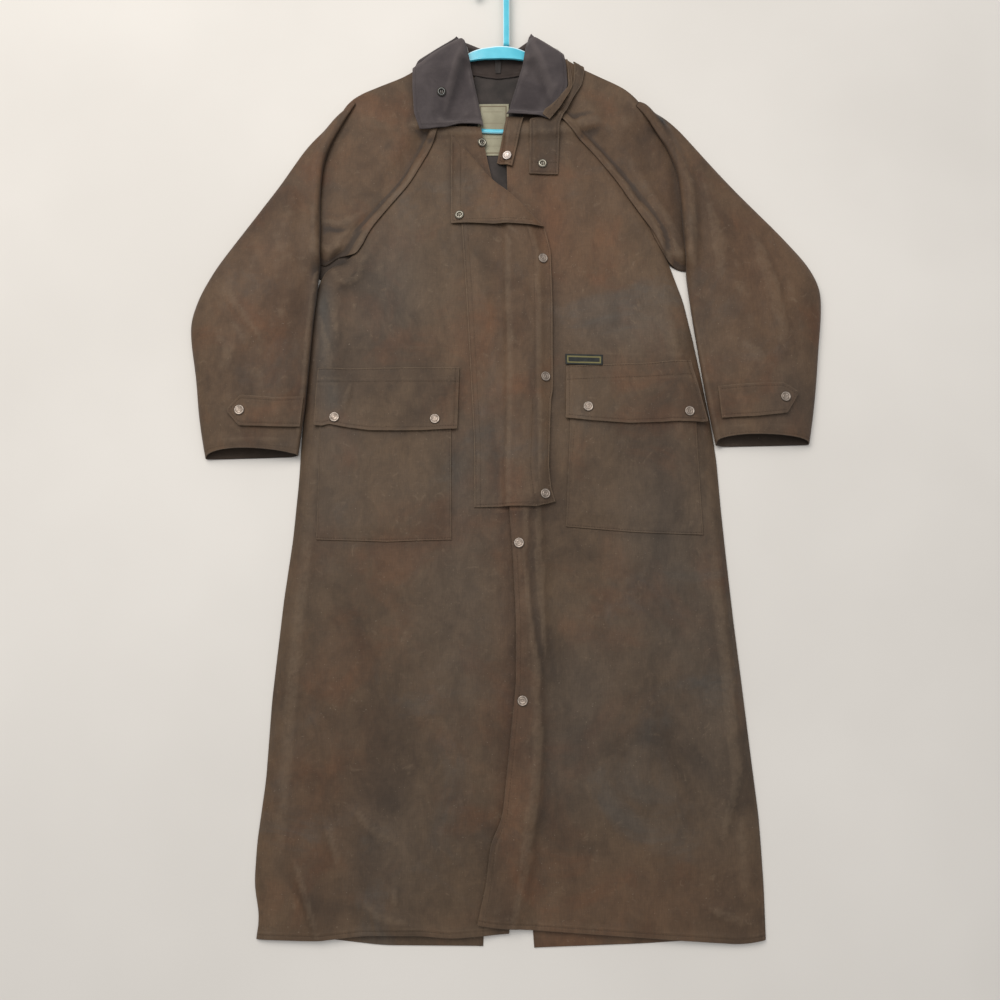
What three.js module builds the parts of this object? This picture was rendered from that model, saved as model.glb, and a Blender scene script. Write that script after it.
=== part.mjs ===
// A full-length duster coat on a hanger, laid flat on its back and snapped shut.
// Millimetres, +Z up from the floor, +Y towards the collar, +X to the right of someone
// who looks down at the coat from its hem. Left and right are that person's.
//
// Each cloth piece is a wall laid on what is under it. A pile of heights over the floor
// remembers the top of every piece already laid, so the next piece rests just above it.

import * as THREE from 'three';

// Driving dimensions
const CLOTH = 1.8;
const COLLAR_CLOTH = 2.2;
const SEAM_GAP = 0.35;
const SIDE_SEAM_INSET = 12;
const SNAP_RADIUS = 7.4;
const SNAP_HEIGHT = 2.6;
const HANGER_WIDTH = 12;
const HANGER_BOW_WIDTH = 21;
const HANGER_THICKNESS = 6;
const HOOK_RADIUS = 24;

const PILE_CELL = 2.5;
const PILE_HALF_WIDTH = 560;
const PILE_HALF_LENGTH = 920;

const CLOTH_COLOUR = 0x65543f;
const COLLAR_COLOUR = 0x544b4b;
const LINING_COLOUR = 0x322d2b;
const LABEL_COLOUR = 0xc6bb9c;
const PATCH_COLOUR = 0x39423f;
const METAL_COLOUR = 0xa89c90;
const HANGER_COLOUR = 0x3fbccb;

// Small tools

const clamp = (value, low, high) => Math.min(high, Math.max(low, value));
const mix = (a, b, share) => a + (b - a) * share;
const ease = (share) => share * share * (3 - 2 * share);
const mixPoint = (p, q, share) => ({ x: mix(p.x, q.x, share), y: mix(p.y, q.y, share) });

// A value read from table rows { y, ... } between the two rows around y
function readRow(rows, y, column) {
  const last = rows.length - 1;
  const at = rows.findIndex((row) => row.y <= y);
  if (at === 0) return rows[0][column];
  if (at === -1) return rows[last][column];
  const [above, below] = [rows[at - 1], rows[at]];
  return mix(above[column], below[column], (above.y - y) / (above.y - below.y));
}

// The y of a line of points that runs across the coat, at x
function readLine(line, x) {
  if (x <= line[0].x) return line[0].y;
  const at = line.findIndex((point) => point.x >= x);
  if (at === -1) return line[line.length - 1].y;
  const [before, after] = [line[at - 1], line[at]];
  return mix(before.y, after.y, (x - before.x) / (after.x - before.x));
}

// A point on a polyline at a share of its length
function alongLine(line, share) {
  const lengths = line.slice(1).map((p, k) => Math.hypot(p.x - line[k].x, p.y - line[k].y));
  let left = share * lengths.reduce((sum, length) => sum + length, 0);
  for (let k = 0; k < lengths.length; k += 1) {
    if (left <= lengths[k]) return mixPoint(line[k], line[k + 1], left / lengths[k]);
    left -= lengths[k];
  }
  return line[line.length - 1];
}

const points = (...pairs) => pairs.map(([x, y]) => ({ x, y }));
const evenly = (count) => Array.from({ length: count + 1 }, (_, k) => k / count);
const roundly = (count) => evenly(count).map((share) => (1 - Math.cos(Math.PI * share)) / 2);

// The pile: highest point so far over each cell of the floor

const pileColumns = Math.ceil((2 * PILE_HALF_WIDTH) / PILE_CELL);
const pileRows = Math.ceil((2 * PILE_HALF_LENGTH) / PILE_CELL);
const pileHeights = new Float32Array(pileColumns * pileRows);

// Calls visit(cell, x, y) for each cell of the floor that the triangle touches
function eachCell(a, b, c, visit) {
  const half = PILE_CELL / 2;
  const turn = (b.x - a.x) * (c.y - a.y) - (b.y - a.y) * (c.x - a.x);
  const corners = turn >= 0 ? [a, b, c] : [a, c, b];
  const column = (x) => clamp(Math.floor((x + PILE_HALF_WIDTH) / PILE_CELL), 0, pileColumns - 1);
  const row = (y) => clamp(Math.floor((y + PILE_HALF_LENGTH) / PILE_CELL), 0, pileRows - 1);
  const xs = corners.map((p) => p.x);
  const ys = corners.map((p) => p.y);
  for (let r = row(Math.min(...ys)); r <= row(Math.max(...ys)); r += 1) {
    for (let k = column(Math.min(...xs)); k <= column(Math.max(...xs)); k += 1) {
      const x = (k + 0.5) * PILE_CELL - PILE_HALF_WIDTH;
      const y = (r + 0.5) * PILE_CELL - PILE_HALF_LENGTH;
      const touches = corners.every((p, n) => {
        const q = corners[(n + 1) % 3];
        const inside = (q.x - p.x) * (y - p.y) - (q.y - p.y) * (x - p.x);
        return inside + half * (Math.abs(q.x - p.x) + Math.abs(q.y - p.y)) >= 0;
      });
      if (touches) visit(r * pileColumns + k, x, y);
    }
  }
}

// The height of the pile at one place
function pileAt(x, y) {
  const column = Math.floor((x + PILE_HALF_WIDTH) / PILE_CELL);
  const row = Math.floor((y + PILE_HALF_LENGTH) / PILE_CELL);
  return pileHeights[row * pileColumns + column];
}

// Calls visit(cell, low, high) for each cell under a grid of points { x, y, z }, with the
// lowest and highest that the grid's surface can be over that cell
function eachCellUnder(grid, visit) {
  const overTriangle = (a, b, c) => {
    const turn = (b.x - a.x) * (c.y - a.y) - (b.y - a.y) * (c.x - a.x);
    const slopeX = ((b.z - a.z) * (c.y - a.y) - (c.z - a.z) * (b.y - a.y)) / turn || 0;
    const slopeY = ((c.z - a.z) * (b.x - a.x) - (b.z - a.z) * (c.x - a.x)) / turn || 0;
    const spare = (PILE_CELL / 2) * (Math.abs(slopeX) + Math.abs(slopeY));
    const lowest = Math.min(a.z, b.z, c.z);
    const highest = Math.max(a.z, b.z, c.z);
    eachCell(a, b, c, (cell, x, y) => {
      const z = a.z + slopeX * (x - a.x) + slopeY * (y - a.y);
      visit(cell, Math.max(z - spare, lowest), Math.min(z + spare, highest));
    });
  };
  for (let j = 1; j < grid.length; j += 1) {
    for (let i = 1; i < grid[j].length; i += 1) {
      overTriangle(grid[j - 1][i - 1], grid[j - 1][i], grid[j][i]);
      overTriangle(grid[j - 1][i - 1], grid[j][i], grid[j][i - 1]);
    }
  }
}

// Raises the pile to a grid's surface
function lay(grid) {
  eachCellUnder(grid, (cell, low, high) => {
    pileHeights[cell] = Math.max(pileHeights[cell], high);
  });
}

// Lets a grid down until it nearly touches the pile somewhere
function settled(grid) {
  let clearance = Infinity;
  eachCellUnder(grid, (cell, low) => {
    clearance = Math.min(clearance, low - pileHeights[cell]);
  });
  return moved(grid, -Math.max(0, clearance - SEAM_GAP));
}

// The least height at which each point of a flat grid { x, y } clears the pile
function rest(plan) {
  const heights = plan.map((line) => line.map(() => 0));
  for (let j = 1; j < plan.length; j += 1) {
    for (let i = 1; i < plan[j].length; i += 1) {
      const [a, b, c, d] = [plan[j - 1][i - 1], plan[j - 1][i], plan[j][i], plan[j][i - 1]];
      let top = 0;
      const look = (cell) => {
        top = Math.max(top, pileHeights[cell]);
      };
      eachCell(a, b, c, look);
      eachCell(a, c, d, look);
      const clear = top > 0 ? top + SEAM_GAP : 0;
      for (const [n, m] of [[j - 1, i - 1], [j - 1, i], [j, i], [j, i - 1]]) {
        heights[n][m] = Math.max(heights[n][m], clear);
      }
    }
  }
  return heights;
}

// Soft folds: a ridge from one point to another, high in its middle, that fades over its width
function ridgeHeight(ridges, x, y) {
  let height = 0;
  for (const ridge of ridges) {
    const [dx, dy] = [ridge.toX - ridge.x, ridge.toY - ridge.y];
    const length = Math.hypot(dx, dy);
    const along = clamp(((x - ridge.x) * dx + (y - ridge.y) * dy) / length ** 2, 0, 1);
    const off = Math.hypot(x - ridge.x - dx * along, y - ridge.y - dy * along);
    const fade = Math.exp(-((off / ridge.width) ** 2));
    height = Math.max(height, ridge.height * fade * (0.45 + 0.55 * Math.sin(Math.PI * along)));
  }
  return height;
}

// Closed bodies

// A wall between an outer and an inner grid of points. A ring closes round its rows.
function wall(outer, inner, { ring = false } = {}) {
  const rows = outer.length;
  const columns = outer[0].length;
  const positions = [];
  for (const grid of [outer, inner]) {
    for (const line of grid) line.forEach((p) => positions.push(p.x, p.y, p.z));
  }
  const at = (side, j, i) => (side * rows + j) * columns + (i % columns);
  const faces = [];
  const quad = (a, b, c, d) => faces.push(a, b, c, a, c, d);
  const spans = ring ? columns : columns - 1;
  for (let j = 0; j < rows - 1; j += 1) {
    for (let i = 0; i < spans; i += 1) {
      quad(at(0, j, i), at(0, j, i + 1), at(0, j + 1, i + 1), at(0, j + 1, i));
      quad(at(1, j, i), at(1, j + 1, i), at(1, j + 1, i + 1), at(1, j, i + 1));
    }
    if (!ring) {
      const end = columns - 1;
      quad(at(0, j, 0), at(0, j + 1, 0), at(1, j + 1, 0), at(1, j, 0));
      quad(at(0, j, end), at(1, j, end), at(1, j + 1, end), at(0, j + 1, end));
    }
  }
  for (let i = 0; i < spans; i += 1) {
    const end = rows - 1;
    quad(at(0, 0, i), at(1, 0, i), at(1, 0, i + 1), at(0, 0, i + 1));
    quad(at(0, end, i), at(0, end, i + 1), at(1, end, i + 1), at(1, end, i));
  }
  return closedGeometry(positions, faces);
}

// A solid bar through rings of points, with flat ends
function bar(rings) {
  const columns = rings[0].length;
  const positions = rings.flatMap((ring) => ring.flatMap((p) => [p.x, p.y, p.z]));
  const at = (j, i) => j * columns + (i % columns);
  const faces = [];
  for (let j = 0; j < rings.length - 1; j += 1) {
    for (let i = 0; i < columns; i += 1) {
      faces.push(at(j, i), at(j, i + 1), at(j + 1, i + 1), at(j, i), at(j + 1, i + 1), at(j + 1, i));
    }
  }
  const end = rings.length - 1;
  for (let i = 1; i < columns - 1; i += 1) {
    faces.push(at(0, 0), at(0, i + 1), at(0, i), at(end, 0), at(end, i), at(end, i + 1));
  }
  return closedGeometry(positions, faces);
}

// Turns the faces outwards if the body came out inside out
function closedGeometry(positions, faces) {
  const corner = (n) => new THREE.Vector3().fromArray(positions, 3 * faces[n]);
  let volume = 0;
  for (let n = 0; n < faces.length; n += 3) {
    volume += corner(n).dot(corner(n + 1).cross(corner(n + 2)));
  }
  if (volume < 0) {
    for (let n = 0; n < faces.length; n += 3) [faces[n], faces[n + 1]] = [faces[n + 1], faces[n]];
  }
  const geometry = new THREE.BufferGeometry();
  geometry.setAttribute('position', new THREE.Float32BufferAttribute(positions, 3));
  geometry.setIndex(faces);
  geometry.computeVertexNormals();
  return geometry;
}

const coat = new THREE.Group();

function addPiece(name, geometry, colour, { roughness = 0.8, metalness = 0 } = {}) {
  const material = new THREE.MeshStandardMaterial({ color: colour, roughness, metalness });
  const mesh = new THREE.Mesh(geometry, material);
  mesh.name = name;
  coat.add(mesh);
}

const raised = (plan, heights, lift) => plan.map((line, j) => line.map((p, i) => (
  { x: p.x, y: p.y, z: heights[j][i] + lift(p, i / (line.length - 1), j / (plan.length - 1)) })));
const moved = (grid, dz) => grid.map((line) => line.map((p) => ({ ...p, z: p.z + dz })));

// Flat grids

// Rows across the coat between a left and a right edge, read from a table by y. Where a hem
// line is given, the lowest rows bend to it.
function planByRows(rows, ys, shares, { hem, hemFade = 90 } = {}) {
  const lowest = ys[ys.length - 1];
  return ys.map((y) => shares.map((share) => {
    const x = mix(readRow(rows, y, 'left'), readRow(rows, y, 'right'), share);
    const bend = hem ? ease(clamp(1 - (y - lowest) / hemFade, 0, 1)) * (readLine(hem, x) - lowest) : 0;
    return { x, y: y + bend };
  }));
}

// The y of every table row, with more between rows further apart than step
function stepsBetween(rows, step) {
  const ys = [rows[0].y];
  for (const row of rows.slice(1)) {
    const from = ys[ys.length - 1];
    if (from - row.y < step * 0.3 && row !== rows[rows.length - 1]) continue;
    const count = Math.max(1, Math.round((from - row.y) / step));
    for (let k = 1; k <= count; k += 1) ys.push(mix(from, row.y, k / count));
  }
  return ys;
}

// Rows between two lines of points that run side by side
function planBetween(left, right, rowShares, shares) {
  return rowShares.map((v) => {
    const [a, b] = [alongLine(left, v), alongLine(right, v)];
    return shares.map((u) => mixPoint(a, b, u));
  });
}

// A patch inside four edges: first and last row, left and right line
function planInside(first, last, left, right, rowShares, shares) {
  const [a, b, c, d] = [first[0], first[first.length - 1], last[0], last[last.length - 1]];
  return rowShares.map((v) => shares.map((u) => {
    const [top, low] = [alongLine(first, u), alongLine(last, u)];
    const [west, east] = [alongLine(left, v), alongLine(right, v)];
    const blend = (key) => mix(top[key], low[key], v) + mix(west[key], east[key], u)
      - mix(mix(a[key], b[key], u), mix(c[key], d[key], u), v);
    return { x: blend('x'), y: blend('y') };
  }));
}

// One layer of cloth on the pile
function layCloth(name, plan, { colour = CLOTH_COLOUR, thick = CLOTH, lift = () => 0 } = {}) {
  const bottom = settled(raised(plan, rest(plan), lift));
  const top = moved(bottom, thick);
  addPiece(name, wall(top, bottom), colour);
  lay(top);
}

// Outlines of the body, a row for each height at which an edge turns

const LEFT_FRONT_ROWS = [
  { y: 591, left: -104, right: -30 },
  { y: 555, left: -116, right: -23 },
  { y: 530, left: -130, right: -18 },
  { y: 496, left: -147, right: -10 },
  { y: 462, left: -174, right: 8 },
  { y: 420, left: -206, right: 28 },
  { y: 392, left: -216, right: 42 },
  { y: 370, left: -232, right: 46 },
  { y: 356, left: -264, right: 48 },
  { y: 328, left: -277, right: 50 },
  { y: 250, left: -284, right: 50 },
  { y: 155, left: -288, right: 50 },
  { y: 89, left: -291, right: 50 },
  { y: 29, left: -292, right: 50 },
  { y: -59, left: -297, right: 52 },
  { y: -145, left: -306, right: 56 },
  { y: -283, left: -316, right: 54 },
  { y: -389, left: -319, right: 44 },
  { y: -471, left: -327, right: 30 },
  { y: -523, left: -328, right: 22 },
  { y: -564, left: -319, right: 16 },
  { y: -590, left: -322, right: 12 },
];

const RIGHT_FRONT_ROWS = [
  { y: 612, left: 10, right: 101 },
  { y: 570, left: 10, right: 133 },
  { y: 548, left: 10, right: 153 },
  { y: 496, left: 11, right: 191 },
  { y: 464, left: 12, right: 209 },
  { y: 437, left: 12, right: 231 },
  { y: 404, left: 12, right: 245 },
  { y: 358, left: 13, right: 260 },
  { y: 306, left: 14, right: 277 },
  { y: 244, left: 14, right: 289 },
  { y: 190, left: 14, right: 298 },
  { y: 105, left: 14, right: 311 },
  { y: 57, left: 14, right: 316 },
  { y: -14, left: 13, right: 319 },
  { y: -83, left: 18, right: 323 },
  { y: -173, left: 22, right: 329 },
  { y: -259, left: 22, right: 336 },
  { y: -363, left: 11, right: 344 },
  { y: -437, left: 3, right: 350 },
  { y: -471, left: -13, right: 351 },
  { y: -527, left: -19, right: 352 },
  { y: -588, left: -30, right: 351 },
];

const LEFT_FRONT_HEM = points([-322, -591], [-242, -593], [-179, -586], [-103, -586], [-65, -590],
  [12, -584]);
const RIGHT_FRONT_HEM = points([-30, -572], [-6, -576], [41, -579], [164, -587], [239, -592], [319, -597],
  [351, -592]);
const LEFT_BACK_HEM = points([-310, -584], [-220, -592], [-154, -599], [-22, -600]);
const RIGHT_BACK_HEM = points([45, -602], [185, -597], [339, -588]);

// Centre back: one seam down to the vent, which spreads to the hem
const CENTRE_BACK = [{ y: 692, x: -3 }, { y: -80, x: 5 }];
const VENT_AT_HEM = { y: -598, left: -22, right: 45 };
const BACK_NECK = { y: 692, left: -46, right: 40 };

function backRows(frontRows, side) {
  const ventTop = CENTRE_BACK[1];
  const seam = frontRows.filter((row) => row.y < 560).map((row) => {
    const outer = side === 'left' ? row.left + SIDE_SEAM_INSET : row.right - SIDE_SEAM_INSET;
    const opened = (ventTop.y - row.y) / (ventTop.y - VENT_AT_HEM.y);
    const middle = opened < 0 ? readRow(CENTRE_BACK, row.y, 'x')
      : mix(ventTop.x, VENT_AT_HEM[side], opened);
    return { y: row.y, outer, middle };
  });
  const neck = { y: BACK_NECK.y, outer: BACK_NECK[side], middle: CENTRE_BACK[0].x };
  const vent = { y: ventTop.y, outer: readRow(seam, ventTop.y, 'outer'), middle: ventTop.x };
  const rows = [neck, ...seam, vent].sort((a, b) => b.y - a.y);
  rows[rows.length - 1].y = VENT_AT_HEM.y;
  const half = SEAM_GAP / 2;
  return rows.map(({ y, outer, middle }) => (side === 'left'
    ? { y, left: outer, right: middle - half } : { y, left: middle + half, right: outer }));
}

// The two back panels lie flat on the floor
function layBack(name, rows, hem) {
  const plan = planByRows(rows, stepsBetween(rows, 62), evenly(5), { hem });
  const bottom = plan.map((line) => line.map((p) => ({ ...p, z: 0 })));
  const top = moved(bottom, CLOTH);
  addPiece(name, wall(top, bottom), CLOTH_COLOUR);
  lay(top);
}

layBack('back_left', backRows(LEFT_FRONT_ROWS, 'left'), LEFT_BACK_HEM);
layBack('back_right', backRows(RIGHT_FRONT_ROWS, 'right'), RIGHT_BACK_HEM);

// Shoulders of the raglan sleeves: one cloth folded along the shoulder, its lower layer on the
// floor and its upper layer over the hanger. Both layers end under the folded-down sleeve.

// The lower ends are the underarm gussets. The left one leaves a small opening above the front.
const LEFT_SHOULDER = {
  fold: points([-58, 730], [-100, 708], [-151, 674], [-196, 656], [-221, 645], [-238, 634], [-258, 604]),
  under: points([-38, 690], [-80, 610], [-138, 496], [-196, 420], [-206, 400]),
  over: points([-96, 590], [-108, 555], [-122, 530], [-140, 496], [-167, 462], [-199, 420], [-209, 396]),
  underEnd: points([-206, 400], [-222, 350], [-258, 346], [-282, 372], [-288, 450], [-288, 520],
    [-258, 604]),
  overEnd: points([-209, 396], [-220, 378], [-246, 378], [-268, 360], [-286, 376], [-288, 450],
    [-288, 520], [-258, 604]),
};
const RIGHT_SHOULDER = {
  fold: points([52, 732], [92, 712], [133, 686], [174, 667], [192, 657], [212, 637], [240, 608],
    [262, 582]),
  under: points([32, 690], [80, 622], [176, 496], [222, 430], [236, 404]),
  over: points([94, 608], [126, 570], [146, 548], [184, 496], [202, 464], [224, 437], [236, 406]),
  underEnd: points([236, 404], [258, 364], [276, 354], [292, 356], [296, 400], [294, 480], [262, 582]),
  overEnd: points([236, 406], [258, 364], [276, 354], [292, 356], [296, 400], [294, 480], [262, 582]),
};
const SHOULDER_SHARES = [0, 0.15, 0.32, 0.5, 0.68, 0.84, 0.95, 1];
const SHOULDER_ROWS = evenly(9);
const SHOULDER_LOW = 2.5;
const SHOULDER_PUFF = 4;
const FOLD_REACH = 3.2;

function shoulderPlan(fold, seam, end) {
  return planInside([seam[0], fold[0]], end, seam, fold, SHOULDER_ROWS, SHOULDER_SHARES);
}

function layShoulderUnder(shoulder) {
  const plan = shoulderPlan(shoulder.fold, shoulder.under, shoulder.underEnd);
  const bottom = raised(plan, rest(plan), () => 0);
  lay(moved(bottom, CLOTH));
  return bottom;
}

// The fold's outermost point, half way between the layers and a little outside them
function foldTip(low, high, beside, reach) {
  const length = Math.hypot(low.x - beside.x, low.y - beside.y);
  const out = reach / length;
  return {
    x: low.x + (low.x - beside.x) * out, y: low.y + (low.y - beside.y) * out, z: (low.z + high.z) / 2,
  };
}

function layShoulderOver(name, shoulder, under) {
  const plan = shoulderPlan(shoulder.fold, shoulder.over, shoulder.overEnd);
  const puff = (p, u) => SHOULDER_LOW + SHOULDER_PUFF * Math.sin(Math.PI * Math.min(u, 0.5));
  const over = raised(plan, rest(plan), puff);
  const last = SHOULDER_SHARES.length - 1;
  const outer = under.map((low, j) => [...low,
    foldTip(low[last], { z: over[j][last].z + CLOTH }, low[last - 1], FOLD_REACH),
    ...moved([over[j]], CLOTH)[0].reverse()]);
  const inner = under.map((low, j) => [...moved([low], CLOTH)[0],
    foldTip({ ...low[last], z: low[last].z + CLOTH }, over[j][last], low[last - 1], FOLD_REACH - CLOTH),
    ...[...over[j]].reverse()]);
  addPiece(name, wall(outer, inner), CLOTH_COLOUR);
  lay(moved(over, CLOTH));
}

const leftShoulderUnder = layShoulderUnder(LEFT_SHOULDER);
const rightShoulderUnder = layShoulderUnder(RIGHT_SHOULDER);

// Inside of the neck

const NECK_FACING_ROWS = [
  { y: 688, left: -40, right: 34 },
  { y: 640, left: -48, right: 34 },
  { y: 480, left: -60, right: 50 },
];
const LABEL_ROWS = [
  { y: 638, left: -36, right: 14 },
  { y: 548, left: -34, right: 14 },
];

layCloth('neck_facing', planByRows(NECK_FACING_ROWS, stepsBetween(NECK_FACING_ROWS, 30), evenly(4)),
  { colour: LINING_COLOUR, thick: 1 });
layCloth('neck_label', planByRows(LABEL_ROWS, stepsBetween(LABEL_ROWS, 30), evenly(3)),
  { colour: LABEL_COLOUR, thick: 1 });

// The back of the collar stands between the shoulders, low enough for the hanger to lie on it

const COLLAR_BACK = {
  seam: points([-44, 688], [-3, 682], [38, 688]),
  fold: points([-52, 738], [-28, 730], [-3, 728], [24, 730], [42, 738]),
  hem: points([-60, 752], [-30, 738], [-3, 736], [28, 738], [48, 754]),
};
const COLLAR_BACK_FOLD_HEIGHT = 5;

function tentPlan(collar, seamShares, fallShares, rowShares) {
  const seamHalf = planBetween(collar.seam, collar.fold, rowShares, seamShares);
  const fallHalf = planBetween(collar.fold, collar.hem, rowShares, fallShares);
  return seamHalf.map((line, j) => [...line, ...fallHalf[j].slice(1)]);
}

// A height profile across a tent of cloth: up from the seam to the fold and down to the hem
function tentLift(profile, height) {
  return (p, u, v) => profile[Math.round(u * (profile.length - 1))] * height(v);
}

layCloth('collar_back', tentPlan(COLLAR_BACK, [0, 0.35, 0.7, 1], [0, 0.5, 1], evenly(8)), {
  colour: COLLAR_COLOUR,
  thick: COLLAR_CLOTH,
  lift: tentLift([0, 0.55, 0.9, 1, 0.75, 0], () => COLLAR_BACK_FOLD_HEIGHT),
});

const LOOP_ROWS = [{ y: 716, left: -8, right: 2 }, { y: 690, left: -7, right: 1 }];
layCloth('hanging_loop', planByRows(LOOP_ROWS, stepsBetween(LOOP_ROWS, 13), evenly(2)),
  { colour: LINING_COLOUR, thick: 1.5 });

// Hanger: arms from shoulder to shoulder, a lower bar, and a hook with its shank

// The arms are a deep bow where the hook stands on them and slimmer towards the shoulders
const HANGER_ARMS = [
  { x: -206, y: 626, z: 5.1, width: HANGER_WIDTH },
  { x: -150, y: 655, z: 6.6, width: HANGER_WIDTH },
  { x: -100, y: 686, z: 9, width: HANGER_WIDTH },
  { x: -57, y: 711, z: 13.4, width: 15 },
  { x: -34, y: 719, z: 16, width: HANGER_BOW_WIDTH },
  { x: 8, y: 722, z: 16.4, width: HANGER_BOW_WIDTH },
  { x: 30, y: 719, z: 16, width: HANGER_BOW_WIDTH },
  { x: 52, y: 711, z: 13.4, width: 15 },
  { x: 100, y: 688, z: 9, width: HANGER_WIDTH },
  { x: 152, y: 657, z: 6.6, width: HANGER_WIDTH },
  { x: 206, y: 628, z: 5.1, width: HANGER_WIDTH },
];
const HANGER_BAR = points([-203, 618], [-190, 608], [-100, 592], [0, 587], [100, 593], [190, 610],
  [203, 620]);
const HANGER_BAR_WIDTH = 7;
const HANGER_BAR_THICKNESS = 5;
const HANGER_BAR_CLEARANCE = 0.1;
const HOOK_SHANK = { x: 10, foot: 732.5, top: 836, width: 10 };
const HOOK_SWEEP = (7 / 6) * Math.PI;
const HOOK_TURNS = 10;
const RING_SIDES = 8;
// The rings' corners stand out, so that their flats come near the bar's width and thickness
const RING_FULLNESS = 1.05;

// The direction of a path at its k-th point
function headingAt(path, k) {
  const before = path[Math.max(0, k - 1)];
  const after = path[Math.min(path.length - 1, k + 1)];
  return Math.atan2(after.y - before.y, after.x - before.x);
}

// Rings of a flattened bar along a path of points { x, y, z, width }, z being the bar's middle
function barRings(path, thickness) {
  return path.map((p, k) => {
    const heading = headingAt(path, k);
    return Array.from({ length: RING_SIDES }, (_, n) => {
      const turn = (2 * Math.PI * (n + 0.5)) / RING_SIDES;
      const across = (p.width / 2) * Math.cos(turn) * RING_FULLNESS;
      return {
        x: p.x - Math.sin(heading) * across,
        y: p.y + Math.cos(heading) * across,
        z: p.z + (thickness / 2) * Math.sin(turn) * RING_FULLNESS,
      };
    });
  });
}

function layBar(name, path, thickness) {
  addPiece(name, bar(barRings(path, thickness)), HANGER_COLOUR, { roughness: 0.35 });
  lay(path.map((p, k) => [-p.width / 2, p.width / 2].map((across) => ({
    x: p.x - Math.sin(headingAt(path, k)) * across,
    y: p.y + Math.cos(headingAt(path, k)) * across,
    z: p.z + thickness / 2,
  }))));
}

const barSide = (across) => HANGER_BAR.map((p) => ({ ...p, y: p.y + across }));
const barBed = rest(planBetween(barSide(4), barSide(-4), evenly(8), [0, 1]));
const barMiddle = Math.max(...barBed.flat()) + HANGER_BAR_THICKNESS / 2 + HANGER_BAR_CLEARANCE;
layBar('hanger_bar', evenly(8).map((share) => (
  { ...alongLine(HANGER_BAR, share), z: barMiddle, width: HANGER_BAR_WIDTH })), HANGER_BAR_THICKNESS);
layBar('hanger_arms', HANGER_ARMS, HANGER_THICKNESS);

// The hook goes up the shank and turns over to the left, its mouth open towards the coat
function hookPath() {
  const { x, foot, top, width } = HOOK_SHANK;
  const shank = evenly(3).slice(0, -1).map((share) => ({ x, y: mix(foot, top, share) }));
  const arc = evenly(HOOK_TURNS).map((share) => ({
    x: x - HOOK_RADIUS + HOOK_RADIUS * Math.cos(HOOK_SWEEP * share),
    y: top + HOOK_RADIUS * Math.sin(HOOK_SWEEP * share),
  }));
  return [...shank, ...arc].map((p) => ({ ...p, z: HANGER_ARMS[5].z, width }));
}
layBar('hanger_hook', hookPath(), HANGER_THICKNESS);

// Fronts: low at the middle, with a soft roll down each side and a few long folds

const LEFT_FRONT_RIDGES = [
  { x: -246, y: 330, toX: -262, toY: 30, width: 18, height: 8 },
  { x: -268, y: 40, toX: -298, toY: -540, width: 20, height: 9 },
  { x: -150, y: 330, toX: -120, toY: 220, width: 22, height: 4 },
  { x: -198, y: -410, toX: -140, toY: -470, width: 14, height: 6 },
  { x: -240, y: -440, toX: -212, toY: -505, width: 13, height: 5 },
  { x: -186, y: -545, toX: -106, toY: -575, width: 14, height: 6 },
  { x: -274, y: -490, toX: -242, toY: -580, width: 12, height: 8 },
];
const RIGHT_FRONT_RIDGES = [
  { x: 240, y: 350, toX: 284, toY: 40, width: 18, height: 8 },
  { x: 296, y: 40, toX: 326, toY: -540, width: 20, height: 9 },
  { x: 66, y: -150, toX: 82, toY: -330, width: 16, height: 5 },
  { x: 322, y: -365, toX: 300, toY: -470, width: 14, height: 5 },
  { x: 200, y: 330, toX: 140, toY: 250, width: 22, height: 4 },
  { x: 180, y: -300, toX: 205, toY: -520, width: 26, height: 4 },
];
const FRONT_SHARES = [0, 0.022, 0.06, 0.1, 0.16, 0.25, 0.36, 0.48, 0.6, 0.72, 0.84, 0.93, 1];

const sideToMiddle = (p, u) => 0.4 + 1.8 * Math.sin(Math.PI * clamp(u, 0, 1));
layCloth('front_left', planByRows(LEFT_FRONT_ROWS, stepsBetween(LEFT_FRONT_ROWS, 34), FRONT_SHARES,
  { hem: LEFT_FRONT_HEM }), {
  lift: (p, u) => (u === 0 ? 0 : sideToMiddle(p, u) + ridgeHeight(LEFT_FRONT_RIDGES, p.x, p.y)),
});
layCloth('front_right', planByRows(RIGHT_FRONT_ROWS, stepsBetween(RIGHT_FRONT_ROWS, 34),
  FRONT_SHARES.map((share) => 1 - share), { hem: RIGHT_FRONT_HEM }), {
  lift: (p, u) => (u === 0 ? 0 : sideToMiddle(p, u) + ridgeHeight(RIGHT_FRONT_RIDGES, p.x, p.y)),
});

layShoulderOver('sleeve_left_shoulder', LEFT_SHOULDER, leftShoulderUnder);
layShoulderOver('sleeve_right_shoulder', RIGHT_SHOULDER, rightShoulderUnder);

// Sleeves: a flattened tube through sections from the shoulder's fold to the open cuff.
// inner is the edge beside the body, outer the far edge, height the section's full height.

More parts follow.
